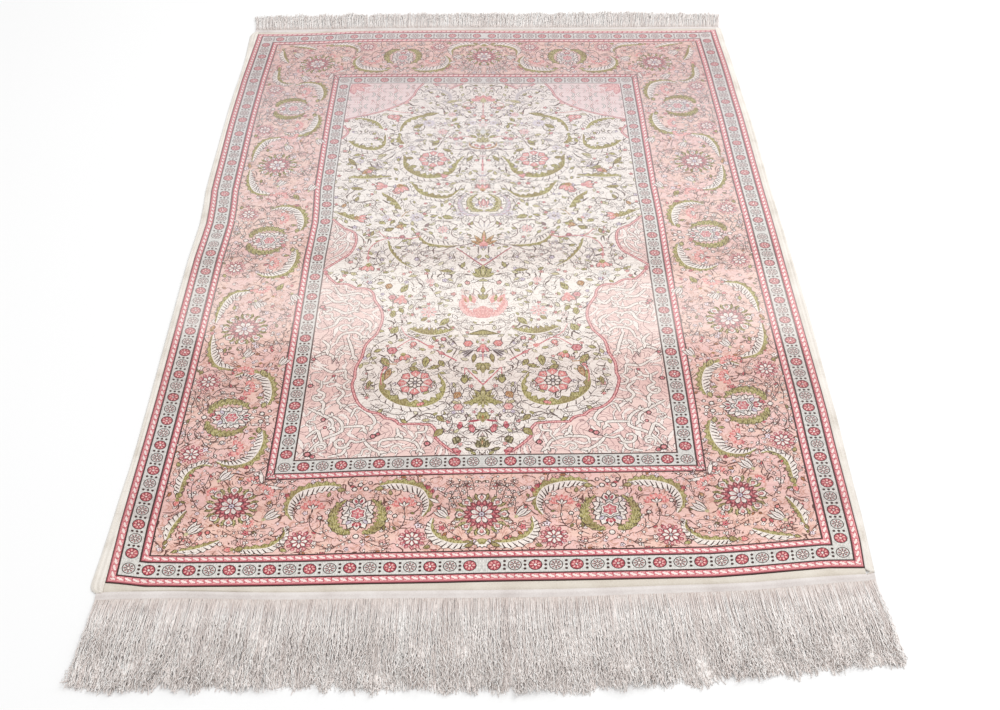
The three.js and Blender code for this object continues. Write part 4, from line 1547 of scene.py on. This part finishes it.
def silk_pile_finish():
    """Knotted silk: dyes, small painted motifs, rows of knots, soft bands from batch to batch, and painted
    sheen and shade across the rug.
    """
    material, tree = new_material("silk_pile")
    uv = add(tree, "ShaderNodeUVMap", uv_map="weave")
    knot = add(tree, "ShaderNodeVectorMath", {0: uv, 1: (KNOT, KNOT, KNOT)}, operation="SNAP")
    parts = add(tree, "ShaderNodeSeparateXYZ", {"Vector": knot})
    place = add(tree, "ShaderNodeCombineXYZ", {"X": abs(parts["X"] + KNOT / 2), "Y": parts["Y"]})
    dye = add(tree, "ShaderNodeAttribute", attribute_name="dye")["Fac"]
    colour = picked(tree, (dye + 0.5) / len(DYES), DYES.values())

    def is_dye(name):
        return dye.maths("COMPARE", float(DYE_NUMBER[name]), 0.4)

    # petals and leaves are broken up by strokes of a lighter and a darker knot, outlines are not
    grain = add(tree, "ShaderNodeVectorMath", {0: place, 1: (560.0, 200.0, 0)}, operation="MULTIPLY")
    inputs = {"Vector": grain, "Scale": 1.0, "Detail": 1.0}
    stroke = add(tree, "ShaderNodeTexNoise", inputs, noise_dimensions="2D")
    low, high = stroke < 0.46, stroke > 0.55
    for first, last, light, dark, strength in STROKES:
        middle = (DYE_NUMBER[first] + DYE_NUMBER[last]) / 2
        reach = (DYE_NUMBER[last] - DYE_NUMBER[first]) / 2 + 0.4
        chosen = dye.maths("COMPARE", middle, reach) * strength
        colour = blend(tree, low * chosen, colour, linear(light))
        colour = blend(tree, high * chosen, colour, linear(dark))
    # green silk is seldom even: it goes to brown here and there
    inputs = {"Vector": place, "Scale": 38.0, "Detail": 1.0}
    turning = add(tree, "ShaderNodeTexNoise", inputs, noise_dimensions="2D")
    browned = ramp(tree, turning, [(0.45, 0.0), (0.65, 0.45)])
    colour = blend(tree, is_dye("olive") * browned, colour, linear("8c7449"))
    for name, ground_of, where in (("peach", border_ground, place), ("blush", corner_ground, place),
                                   ("cream", field_ground, place), ("braid", braid_ground, parts)):
        colour = blend(tree, is_dye(name), colour, ground_of(tree, where))

    # bands across the rug: silk of another batch, and painted sheen and painted shade where the nap has
    # turned towards or away from the light
    where = add(tree, "ShaderNodeTexCoord")["Object"]
    long_way = add(tree, "ShaderNodeSeparateXYZ", {"Vector": where})["Y"]
    drift = add(tree, "ShaderNodeTexNoise", {"Vector": where, "Scale": 5.0, "Detail": 3.0})
    along = long_way / (LENGTH * MM) + (drift * 0.06 + 0.45)
    pinks = (dye < DYE_NUMBER["olive"]) * (is_dye("cream") * -1.0 + 1.0)
    # painted sheen: the silk is painted paler in bands, most on the pink dyes
    sheen_share = ramp(tree, along, PAINTED_SHEEN) * (pinks * 0.65 + 0.35)
    colour = blend(tree, sheen_share, colour, ramp(tree, along, PAINTED_SHEEN_TO))
    # darker bands: batches of silk together with painted shade of the nap
    colour = blend(tree, 1.0, colour, ramp(tree, along, BATCH_BANDS_AND_PAINTED_SHADE), "MULTIPLY")
    speck = add(tree, "ShaderNodeTexWhiteNoise", {"Vector": knot}, noise_dimensions="2D")
    rows = add(tree, "ShaderNodeVectorMath", {0: uv, 1: (14.0, 330.0, 1.0)}, operation="MULTIPLY")
    inputs = {"Vector": rows, "Scale": 1.0, "Detail": 2.0}
    streak = add(tree, "ShaderNodeTexNoise", inputs, noise_dimensions="2D")
    light = speck * 0.12 + 0.90 + (streak * 0.3 - 0.15)
    surface(tree, {
        "Base Color": blend(tree, 1.0, colour, light, "MULTIPLY"),
        "Roughness": 0.6,
        "Specular IOR Level": 0.3,
        "Sheen Weight": 0.15,
        "Sheen Roughness": 0.5,
        "Normal": add(tree, "ShaderNodeBump", {"Height": speck, "Strength": 0.25, "Distance": 0.0004}),
    })
    return material


silk_pile = silk_pile_finish()
print("made", silk_pile.name, "with", len(silk_pile.node_tree.nodes), "nodes")

# %% [markdown]
# ## The pile
# The left half is mirrored, pulled out to the true edges with woven(), and laid on the floor with a
# few low ripples. It is made as three nested pieces, the outer stripes, the main border and the field,
# so that none of them is too heavy. Each is a closed slab: the patterned top, a rim, and a plain
# underside. The dye number stays on the faces, and the design's own millimetres are kept as a UV map,
# for finishes that follow the weave.

# %% Slabs of pile
FLOOR_Z = cad_low[2] / MM  # the underside of the rug, in mm
GAP, GROUND_HEIGHT, PILE_HEIGHT = 0.1, 1.3, 3.8  # heights over the floor in mm; pieces lie GAP apart
RIM_DROP, RIM_WIDTH = 1.3, 4.0  # the pile rounds down so far, over so wide a strip along its edge, in mm
RIPPLE = 1.6  # size of the ripples in mm
BASE_STEP, BASE_START = 30.0, (15.3, 15.7)  # a coarse grid for the underside, clear of the pattern's lines


def lift(x, y):
    """How far the rug stands off the floor at a place, in mm: a few low ripples that never go below it."""
    wave = np.sin(x / 170 + 0.9 * np.sin(y / 310)) * np.sin(y / 150 + 1.3) + 0.6 * np.sin(x / 95 - y / 210)
    return RIPPLE * np.clip(0.35 + 0.5 * wave, 0, None)


whole_points = np.concatenate([half_points, half_points * (-1, 1)])
whole_triangles = np.concatenate([half_triangles, half_triangles[:, ::-1] + len(half_points)])
whole_dye = np.tile(half_dye, 2)
key, first, where = np.unique(np.round(whole_points / WELD), axis=0, return_index=True, return_inverse=True)
whole_points, whole_triangles = whole_points[first], where.ravel()[whole_triangles]
whole_ring = ring_of(whole_points[whole_triangles].mean(axis=1))


def rim_of(triangles):
    """The directed edges that only one triangle has, which is the open edge of a sheet."""
    sides = np.concatenate([triangles[:, [0, 1]], triangles[:, [1, 2]], triangles[:, [2, 0]]])
    key, where, uses = np.unique(np.sort(sides, axis=1), axis=0, return_inverse=True, return_counts=True)
    return sides[uses[where.ravel()] == 1]


def placed(points, height):
    """Design points in mm as places in the frame, in metres, at a height over the floor."""
    x, y = woven(points[:, 0], points[:, 1])
    z = FLOOR_Z + lift(x, y) + height
    return np.column_stack([x + rug_middle[0], y + rug_middle[1], z]) * MM


def piece_mesh(name, points, faces, material, uv, crease):
    """A mesh with its weave map and its finish, and sharp edges from an angle in degrees."""
    mesh = bpy.data.meshes.new(name)
    mesh.from_pydata(points.tolist(), [], faces.tolist())
    corner = np.empty(len(mesh.loops), dtype=np.int32)
    mesh.loops.foreach_get("vertex_index", corner)
    mesh.uv_layers.new(name="weave").data.foreach_set("uv", uv[corner].ravel())
    mesh.materials.append(material)
    mesh.shade_smooth()
    mesh.set_sharp_from_angle(angle=math.radians(crease))
    return mesh


def into_scene(name, mesh, node, slot):
    """A finished mesh as a piece in the frame, riding on the rug."""
    piece = bpy.data.objects.new(name, mesh)
    scene.collection.objects.link(piece)
    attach(piece, "root")
    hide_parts(node)
    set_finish(piece, slot)
    print(name, len(mesh.vertices), "points", len(mesh.polygons), "faces")
    return piece


def pile_slab(name, ring):
    """One nested piece of the pile as a closed slab with its dyes on the faces."""
    chosen = whole_ring == ring
    used, triangles = np.unique(whole_triangles[chosen], return_inverse=True)
    triangles = triangles.reshape(-1, 3)
    top = whole_points[used]
    edge = rim_of(triangles)
    rim_points, walls = np.unique(edge, return_inverse=True)
    walls = walls.reshape(-1, 2)
    grid_x = np.arange(-HALF_W, HALF_W, BASE_STEP) + BASE_START[0]
    grid_y = np.arange(-HALF_L, HALF_L, BASE_STEP) + BASE_START[1]
    grid = np.stack(np.meshgrid(grid_x, grid_y), -1).reshape(-1, 2)
    grid = grid[ring_of(grid) == ring]
    below, base = cut(top[edge], grid)
    base = base[ring_of(below[base].mean(axis=1)) == ring]
    apart = below[:, None, :] - top[None, rim_points, :]
    near = np.argsort(np.hypot(apart[:, :, 0], apart[:, :, 1]), axis=0)[0]
    from_edge = np.minimum(HALF_W - np.abs(top[:, 0]), HALF_L - np.abs(top[:, 1]))
    height = PILE_HEIGHT - RIM_DROP * np.clip(1 - from_edge / RIM_WIDTH, 0, 1) ** 2
    count = len(top)
    points = np.concatenate([placed(top, height), placed(below, GROUND_HEIGHT + GAP)])
    start, end = edge[:, 0], edge[:, 1]
    low_start, low_end = near[walls[:, 0]] + count, near[walls[:, 1]] + count
    sides = np.concatenate([np.stack([start, low_start, low_end], 1), np.stack([start, low_end, end], 1)])
    faces = np.concatenate([triangles, sides, base[:, ::-1] + count])
    mesh = piece_mesh(name, points, faces, silk_pile, np.concatenate([top, below]) * MM, 40)
    dye = np.full(len(faces), float(DYE_NUMBER["umber"]))
    dye[: len(triangles)] = whole_dye[chosen]
    mesh.attributes.new("dye", "FLOAT", "FACE").data.foreach_set("value", dye)
    into_scene(name, mesh, "pile", "silk_pile")


for nested, name in enumerate(("pile_outer_stripes", "pile_border", "pile_field")):
    pile_slab(name, nested)

# %% [markdown]
# ## The ground weave
# Under the knots lies the real cloth of the rug, warps and wefts of undyed thread, with the back of
# each knot showing as a little bead. It is hidden while the rug lies on the floor, but it is the sheet
# that everything else is tied to or sewn on, so it is made as a thin closed slab of its own.

# %% Pieces from rows of stations
STATIONS_APART = 1.5  # points of the construction model nearer than this belong to one station, in mm
END_ROUND = 18.0  # length over which the end of a selvedge is rounded, in mm


def band_faces(rows, columns):
    """The quads of a tube of rows, each a closed ring of columns, with both ends closed."""
    r, c = np.meshgrid(np.arange(rows - 1), np.arange(columns), indexing="ij")
    a, b = r * columns + c, r * columns + (c + 1) % columns
    quads = np.stack([a, b, b + columns, a + columns], -1).reshape(-1, 4)
    half = columns // 2
    k = np.arange(half - 1)
    cap = np.stack([k, k + 1, columns - 2 - k, columns - 1 - k], -1)
    last = (rows - 1) * columns
    return np.concatenate([quads, cap[:, ::-1], cap + last])


def edge_pairs(node, along):
    """For each station along a strip of the construction model, its two edges, from the rug's middle."""
    points = plan(node) - rug_middle
    stations = np.sort(points[:, along])
    stations = stations[np.concatenate([[True], np.diff(stations) > STATIONS_APART])]
    pairs = [points[np.abs(points[:, along] - s) < STATIONS_APART, 1 - along] for s in stations]
    return stations, np.array([[p.min(), p.max()] for p in pairs])


def strip(name, node, along, heights, material, slot, step=4.0, shift=(0, 0), rounded=(0, 0)):
    """A long narrow band, with its heights from its low edge to its high edge.

    shift moves its two edges, and rounded draws them in towards both ends, all in mm.
    """
    stations, edges = edge_pairs(node, along)
    count = int((stations[-1] - stations[0]) / step)
    at = np.linspace(stations[0], stations[-1], count)
    to_end = np.minimum(at - stations[0], stations[-1] - at)
    drawn_in = 1 - np.sqrt(1 - np.clip(1 - to_end / END_ROUND, 0, 1) ** 2)
    low = np.interp(at, stations, edges[:, 0]) + shift[0] + rounded[0] * drawn_in
    high = np.interp(at, stations, edges[:, 1]) + shift[1] - rounded[1] * drawn_in
    across = np.linspace(0, 1, len(heights))
    top = np.column_stack([across, heights])
    under = np.column_stack([across[::-1], np.full(len(heights), GAP)])
    section = np.concatenate([top, under])
    side = low[:, None] + (high - low)[:, None] * section[:, 0]
    place = np.repeat(at[:, None], len(section), axis=1)
    x, y = (place, side) if along == 0 else (side, place)
    z = FLOOR_Z + lift(x, y) + section[:, 1]
    x, y = settled(x, y)
    points = np.stack([x + rug_middle[0], y + rug_middle[1], z], -1).reshape(-1, 3) * MM
    faces = band_faces(count, len(section))
    if along == 1:
        faces = faces[:, ::-1]
    uv = np.stack([place, side - low[:, None]], -1).reshape(-1, 2) * MM
    into_scene(name, piece_mesh(name, points, faces, material, uv, 50), node, slot)


# %% [markdown]
# ## Undyed thread
# The edge cords, the plain weave and the headings are undyed thread, wrapped or woven. It looks matt
# and off-white, with a little sheen and fine ribs, and the ribs have the spacing of the real threads.
# A slow mottle stands for wear. A fine one stands for single threads, and it is drawn about 2 mm wide,
# coarser than they are, so that it shows.

# %% Finishes of the undyed parts
def woven_finish(name, codes, along_scale, across_scale):
    """Undyed thread: a mottle of three shades, with ribs so many mm apart along and across the strip."""
    material, tree = new_material(name)
    parts = add(tree, "ShaderNodeSeparateXYZ", {"Vector": add(tree, "ShaderNodeUVMap", uv_map="weave")})
    where = add(tree, "ShaderNodeTexCoord")["Object"]
    along = (parts["X"] * (2 * math.pi / (along_scale * MM))).maths("SINE")
    across = (parts["Y"] * (2 * math.pi / (across_scale * MM))).maths("SINE")
    rib = (along + across) * 0.25
    cloud = add(tree, "ShaderNodeTexNoise", {"Vector": where, "Scale": 22.0, "Detail": 4.0})
    fine = add(tree, "ShaderNodeTexNoise", {"Vector": where, "Scale": 520.0, "Detail": 2.0})
    mottle = fine * 0.5 + (rib * 0.3 + 0.25) + (cloud * 0.9 - 0.45)
    surface(tree, {
        "Base Color": ramp(tree, mottle, [(0.2, codes[0]), (0.5, codes[1]), (0.8, codes[2])]),
        "Roughness": 0.8,
        "Sheen Weight": 0.25,
        "Normal": add(tree, "ShaderNodeBump", {"Height": rib, "Strength": 0.5, "Distance": 0.0005}),
    })
    return material


selvedge_cord = woven_finish("selvedge_cord", ("c9c0b4", "e6dfd6", "f0ebe4"), 1.6, 6.0)
kilim_weave = woven_finish("kilim_weave", ("c8bdae", "d9d0c3", "e5ded3"), 1.5, 1.7)
heading_weave = woven_finish("heading_weave", ("c6bcb8", "d8d0cc", "e6e0dd"), 1.3, 9.0)

# %% Ground weave
ACROSS, ALONG = 41, 61  # points of the cloth's grid
INSIDE = 1.0  # the cloth ends so far inside the pile, in mm
grid_x = np.linspace(-HALF_W + INSIDE, HALF_W - INSIDE, ACROSS)
grid_y = np.linspace(-HALF_L + INSIDE, HALF_L - INSIDE, ALONG)
flat = np.stack(np.meshgrid(grid_x, grid_y), -1).reshape(-1, 2)
r, c = np.meshgrid(np.arange(ALONG - 1), np.arange(ACROSS - 1), indexing="ij")
corner = (r * ACROSS + c).ravel()
upper = np.stack([corner, corner + 1, corner + ACROSS + 1, corner + ACROSS], 1)
hem = rim_of(np.concatenate([upper[:, :3], upper[:, [0, 2, 3]]]))
walls = np.stack([hem[:, 1], hem[:, 0], hem[:, 0] + len(flat), hem[:, 1] + len(flat)], 1)
faces = np.concatenate([upper, upper[:, ::-1] + len(flat), walls])
points = np.concatenate([placed(flat, GROUND_HEIGHT), placed(flat, GAP)])
uv = np.tile(flat, (2, 1)) * MM
cloth = piece_mesh("ground_weave", points, faces, kilim_weave, uv, 50)
ground = into_scene("ground_weave", cloth, "pile", "kilim_weave")

# %% [markdown]
# ## Selvedges, plain weave and headings
# Each long edge is a bundle of warps wrapped with thread, which makes a soft round band. Each end is
# closed by a finger's width of plain weave and by a bound heading that locks the fringe. All of them
# are bands between two wandering edges, so one function makes them from the construction model's
# edges and a row of heights across the band.

# %% Selvedges and ends
CORDED = [0.2, 1.5, 2.5, 2.9, 2.6, 2.2, 2.7, 3.1, 3.3, 3.2, 2.8, 2.3]  # heights across each band in mm
WEAVE = [0.4, 1.5, 1.9, 2.0, 2.0, 2.0, 1.9]
BOUND = [0.3, 1.3, 1.9, 2.2, 2.4, 2.5, 2.4, 2.1, 1.5, 0.8]
cord = (selvedge_cord, "selvedge_cord")
kilim = (kilim_weave, "kilim_weave")
heading = (heading_weave, "heading_weave")
strip("wrapped_selvedge_left", "selvedge_left", 1, CORDED, *cord, 5.0, rounded=(10, 0))
strip("wrapped_selvedge_right", "selvedge_right", 1, CORDED[::-1], *cord, 5.0)
strip("plain_weave_front", "kilim_front", 0, WEAVE, *kilim, shift=(2.5, 0))
strip("plain_weave_back", "kilim_back", 0, WEAVE[::-1], *kilim)
strip("bound_heading_front", "heading_front", 0, BOUND, *heading, shift=(0, 2.5))
strip("bound_heading_back", "heading_back", 0, BOUND[::-1], *heading)

# %% [markdown]
# ## The fringe
# The fringe is the rug's own warps, left long in front and cut short at the back. The threads run
# straight at first, then kink and tangle towards their ends. In front they lie over each other in
# three layers, and at the back in one. They repeat, so they are made with Geometry Nodes: a mesh of
# straight guide lines goes in, and wavy closed tubes come out.

# %% Thread tree
HIGHEST_THREAD = 12.0  # threads lie on each other to about this height over the floor, in mm
THREAD_INPUTS = [  # name, kind of socket, value until a layer gives its own
    ("Thread radius", "NodeSocketFloat", 0.0006),
    ("Steps", "NodeSocketInt", 22),
    ("Sway", "NodeSocketFloat", 0.004),
    ("Kink", "NodeSocketFloat", 0.002),
    ("Kinks along", "NodeSocketFloat", 9.0),
    ("Seed", "NodeSocketFloat", 1.0),
    ("Thread", "NodeSocketMaterial", None),
]


def thread_tree():
    """Turns straight guide lines into wavy threads; waves grow from the root to the tip."""
    tree = bpy.data.node_groups.new("wavy_threads", "GeometryNodeTree")
    face = tree.interface
    face.new_socket("Guides", in_out="INPUT", socket_type="NodeSocketGeometry")
    sockets = {}
    for name, kind, value in THREAD_INPUTS:
        socket = face.new_socket(name, in_out="INPUT", socket_type=kind)
        if value is not None:
            socket.default_value = value
        sockets[name] = socket.identifier
    face.new_socket("Threads", in_out="OUTPUT", socket_type="NodeSocketGeometry")
    given = add(tree, "NodeGroupInput")
    curves = add(tree, "GeometryNodeMeshToCurve", {"Mesh": given["Guides"]})
    curves = add(tree, "GeometryNodeResampleCurve", {"Curve": curves, "Count": given["Steps"]})
    down = add(tree, "GeometryNodeSplineParameter")["Factor"]
    named = add(tree, "GeometryNodeInputNamedAttribute", {"Name": "strand"}, data_type="FLOAT")
    strand = named["Attribute"]
    here = add(tree, "ShaderNodeSeparateXYZ", {"Vector": add(tree, "GeometryNodeInputPosition")})

    def waver(across, along, size):
        """A smooth random step for each point, as a vector round zero."""
        at = add(tree, "ShaderNodeCombineXYZ", {"X": across, "Y": along, "Z": given["Seed"]})
        noise = add(tree, "ShaderNodeTexNoise", {"Vector": at, "Scale": 1.0, "Detail": 1.0})["Color"]
        centred = add(tree, "ShaderNodeVectorMath", {0: noise, 1: (0.5, 0.5, 0.5)}, operation="SUBTRACT")
        return add(tree, "ShaderNodeVectorMath", {0: centred, "Scale": size}, operation="SCALE")

    sway_size = down.maths("POWER", 1.3) * (given["Sway"] * 4.0)
    sway = waver(here["X"] * 34.0, here["Y"] * 18.0, sway_size)
    kink_size = down.maths("POWER", 1.1) * (given["Kink"] * 4.0)
    kink = waver(strand * 37.7, down * given["Kinks along"], kink_size)
    step = add(tree, "ShaderNodeVectorMath", {0: sway, 1: kink}, operation="ADD")
    bent = add(tree, "GeometryNodeSetPosition", {"Geometry": curves, "Offset": step})
    # no thread goes into the floor or stands up from the heap
    parts = add(tree, "ShaderNodeSeparateXYZ", {"Vector": add(tree, "GeometryNodeInputPosition")})
    lowered = parts["Z"].maths("MINIMUM", (FLOOR_Z + HIGHEST_THREAD) * MM)
    height = lowered.maths("MAXIMUM", given["Thread radius"] + FLOOR_Z * MM)
    rested = add(tree, "ShaderNodeCombineXYZ", {"X": parts["X"], "Y": parts["Y"], "Z": height})
    rests = add(tree, "GeometryNodeSetPosition", {"Geometry": bent, "Position": rested})
    inputs = {"Geometry": rests, "Name": "down", "Value": down}
    kept = add(tree, "GeometryNodeStoreNamedAttribute", inputs, data_type="FLOAT")
    circle = {"Resolution": 3, "Radius": given["Thread radius"]}
    section = add(tree, "GeometryNodeCurvePrimitiveCircle", circle)
    inputs = {"Curve": kept, "Profile Curve": section, "Fill Caps": True}
    tubes = add(tree, "GeometryNodeCurveToMesh", inputs)
    real = add(tree, "GeometryNodeRealizeInstances", {"Geometry": tubes})
    dressed = add(tree, "GeometryNodeSetMaterial", {"Geometry": real, "Material": given["Thread"]})
    add(tree, "NodeGroupOutput", {"Threads": dressed})
    return tree, sockets


threads, thread_inputs = thread_tree()
print("thread tree takes", list(thread_inputs))

# %% Thread finish
SHADE_IN_TANGLES = [(0.0, 0.0), (0.3, 0.05), (0.7, 0.3), (1.0, 0.45)]  # how strong the painted shade in the tangles is along a thread
PAINTED_ROOT_SHADE = [(0.0, "e4dfdc"), (0.1, "f4f1f0"), (0.2, "ffffff")]  # painted shade at the root, where the threads are bound tight under the heading


def thread_finish():
    """Undyed warp thread: a little yellow or grey from strand to strand, with painted shade where it is
    tangled and at its root.
    """
    material, tree = new_material("fringe_thread")
    strand = add(tree, "ShaderNodeAttribute", attribute_name="strand")["Fac"]
    down = add(tree, "ShaderNodeAttribute", attribute_name="down")["Fac"]
    where = add(tree, "ShaderNodeTexCoord")["Object"]
    patch = add(tree, "ShaderNodeTexNoise", {"Vector": where, "Scale": 14.0, "Detail": 2.0})
    shade = (strand * 91.7).maths("FRACT") * 0.85 + patch * 0.15
    colour = ramp(tree, shade, [(0.0, "e8ddd8"), (0.5, "fdf6f2"), (1.0, "fffefc")])
    tangle = add(tree, "ShaderNodeTexNoise", {"Vector": where, "Scale": 330.0, "Detail": 1.0})
    # painted shade in spots, where threads lie under others towards their tips
    painted_tangle_shade = (tangle < 0.45) * ramp(tree, down, SHADE_IN_TANGLES)
    colour = blend(tree, painted_tangle_shade, colour, linear("b9aca4"))
    inputs = {"Vector": where, "Scale": 260.0, "Distortion": 2.0}
    twist = add(tree, "ShaderNodeTexWave", inputs, bands_direction="DIAGONAL")["Fac"]
    surface(tree, {
        # painted shade at the root of each thread
        "Base Color": blend(tree, 1.0, colour, ramp(tree, down, PAINTED_ROOT_SHADE), "MULTIPLY"),
        "Roughness": 0.75,
        "Sheen Weight": 0.2,
        "Normal": add(tree, "ShaderNodeBump", {"Height": twist, "Strength": 0.3, "Distance": 0.0003}),
    })
    return material


fringe_thread = thread_finish()

# %% Guide lines between the heading and the tips
def tip_line(node, side):
    """The ragged outline of the fringe's ends, from the construction model."""
    points = plan(node) - rug_middle
    reach = np.abs(points[:, 1])
    middle = (reach.min() + reach.max()) / 2
    ends = points[reach > middle + 18]
    order = np.argsort(ends[:, 0])
    return ends[order, 0], ends[order, 1]


def fringe(name, heading, node, side, count, low, high, seed, sway, kink, kinks, radius, steps):
    """One layer of threads between the heights low and high, given in mm at the middle of its length."""
    random = np.random.default_rng(seed)
    stations, edges = edge_pairs(heading, 0)
    outer = edges[:, 1] if side > 0 else edges[:, 0]
    share = (np.arange(count) + random.uniform(-0.6, 0.6, count)) / count
    share = np.clip(share, 0, 1)
    root_x = stations[0] + 1 + (stations[-1] - stations[0] - 2) * share
    root_y = np.interp(root_x, stations, outer) - side * 1.5
    tip_x_all, tip_y_all = tip_line(node, side)
    tip_x = tip_x_all[0] + (tip_x_all[-1] - tip_x_all[0]) * share + random.normal(0, 2.5, count)
    tip_y = np.interp(tip_x, tip_x_all, tip_y_all)
    # the tips gather in clumps, and in front they are cut a little shorter here and there
    clump = 1 + 0.025 * np.sin(tip_x / 7.0 + 3 * np.sin(tip_x / 31.0)) + random.uniform(-0.07, 0.02, count)
    trim = 1 if side > 0 else 1.02 - 0.03 * share - 0.04 * np.exp(-(((share - 0.33) / 0.25) ** 2))
    tip_y = root_y + (tip_y - root_y) * clump * trim
    root_z = FLOOR_Z + lift(root_x, root_y) + random.uniform(0.9, 1.9, count)
    mid_z = FLOOR_Z + random.uniform(low, high, count)
    tip_z = FLOOR_Z + random.uniform(low * 0.3, high * 0.8, count)
    t = np.array([0.0, 0.15, 0.6, 1.0])[None, :]
    x = root_x[:, None] + (tip_x - root_x)[:, None] * t
    y = root_y[:, None] + (tip_y - root_y)[:, None] * t
    x, y = settled(x, y)
    z = np.stack([root_z, (root_z + 2 * mid_z) / 3, mid_z, tip_z], 1)
    points = np.stack([x + rug_middle[0], y + rug_middle[1], z], -1).reshape(-1, 3) * MM
    first = np.arange(count)[:, None] * 4 + np.arange(3)
    guides = bpy.data.meshes.new(name + "_guides")
    guides.from_pydata(points.tolist(), np.stack([first, first + 1], -1).reshape(-1, 2).tolist(), [])
    strand = np.repeat(random.permutation(count) / count, 4)
    guides.attributes.new("strand", "FLOAT", "POINT").data.foreach_set("value", strand)
    holder = bpy.data.objects.new(name + "_guides", guides)
    scene.collection.objects.link(holder)
    comb = holder.modifiers.new("threads", "NODES")
    comb.node_group = threads
    for label, value in (
        ("Thread radius", radius * MM), ("Steps", steps), ("Sway", sway * MM), ("Kink", kink * MM),
        ("Kinks along", kinks), ("Seed", float(seed)), ("Thread", fringe_thread),
    ):
        comb[thread_inputs[label]] = value
    ready = holder.evaluated_get(bpy.context.evaluated_depsgraph_get())
    mesh = bpy.data.meshes.new_from_object(ready)
    mesh.name = name
    bpy.data.objects.remove(holder)
    mesh.shade_smooth()
    into_scene(name, mesh, node, "fringe_thread")


FRINGES = [  # name, heading, node, side, threads, low, high, seed, sway, kink, kinks along, radius, steps
    ("fringe_front_under", "heading_front", "fringe_front", -1, 1200, 0.8, 2.2, 3, 3.5, 2.6, 14.0, 0.8, 20),
    ("fringe_front_over", "heading_front", "fringe_front", -1, 950, 2.4, 4.5, 4, 4.5, 3.8, 19.0, 0.65, 29),
    ("fringe_front_loose", "heading_front", "fringe_front", -1, 620, 3.6, 6.5, 6, 7.0, 5.0, 24.0, 0.6, 36),
    ("fringe_back_ends", "heading_back", "fringe_back", 1, 1300, 0.8, 5.0, 5, 3.0, 2.6, 6.0, 0.75, 12),
]
for layer in FRINGES:
    fringe(*layer)

# %% [markdown]
# ## Floor and light
# A white floor, and a broad soft light from above and from the right, as in a studio.

# %% Floor
FLOOR_REACH = 30.0  # metres from the middle, so that the floor has no edge in view
UNDER_RUG = 0.0002  # the floor lies this far under the rug, in metres
floor_mesh = bpy.data.meshes.new("floor")
z = cad_low[2] - UNDER_RUG
corners = [(x * FLOOR_REACH, y * FLOOR_REACH, z) for x, y in ((-1, -1), (1, -1), (1, 1), (-1, 1))]
floor_mesh.from_pydata(corners, [], [(0, 1, 2, 3)])
floor = bpy.data.objects.new("floor", floor_mesh)
scene.collection.objects.link(floor)
white_floor, tree = new_material("white_floor")
surface(tree, {"Base Color": (0.9, 0.9, 0.9, 1), "Roughness": 0.8, "Specular IOR Level": 0.1})
floor_mesh.materials.append(white_floor)

# %% Light
world = bpy.data.worlds.new("studio")
scene.world = world
world.use_nodes = True
sky = world.node_tree.nodes["Background"].inputs
sky["Color"].default_value = (1, 1, 1, 1)
sky["Strength"].default_value = 0.78


def soft_box(name, at, aim, size, power):
    """A square lamp with a side of so many metres, aimed at a point, with its power in watts."""
    light = bpy.data.lights.new(name, "AREA")
    light.size = size
    light.energy = power
    lamp = bpy.data.objects.new(name, light)
    lamp.location = at
    lamp.rotation_euler = (Vector(aim) - Vector(at)).to_track_quat("-Z", "Y").to_euler()
    scene.collection.objects.link(lamp)


soft_box("window", (2.2, 1.6, 3.0), (0, 0, 0), 2.5, 60)
soft_box("overhead", (0.6, -0.6, 3.4), (0, 0, 0), 3.0, 26)
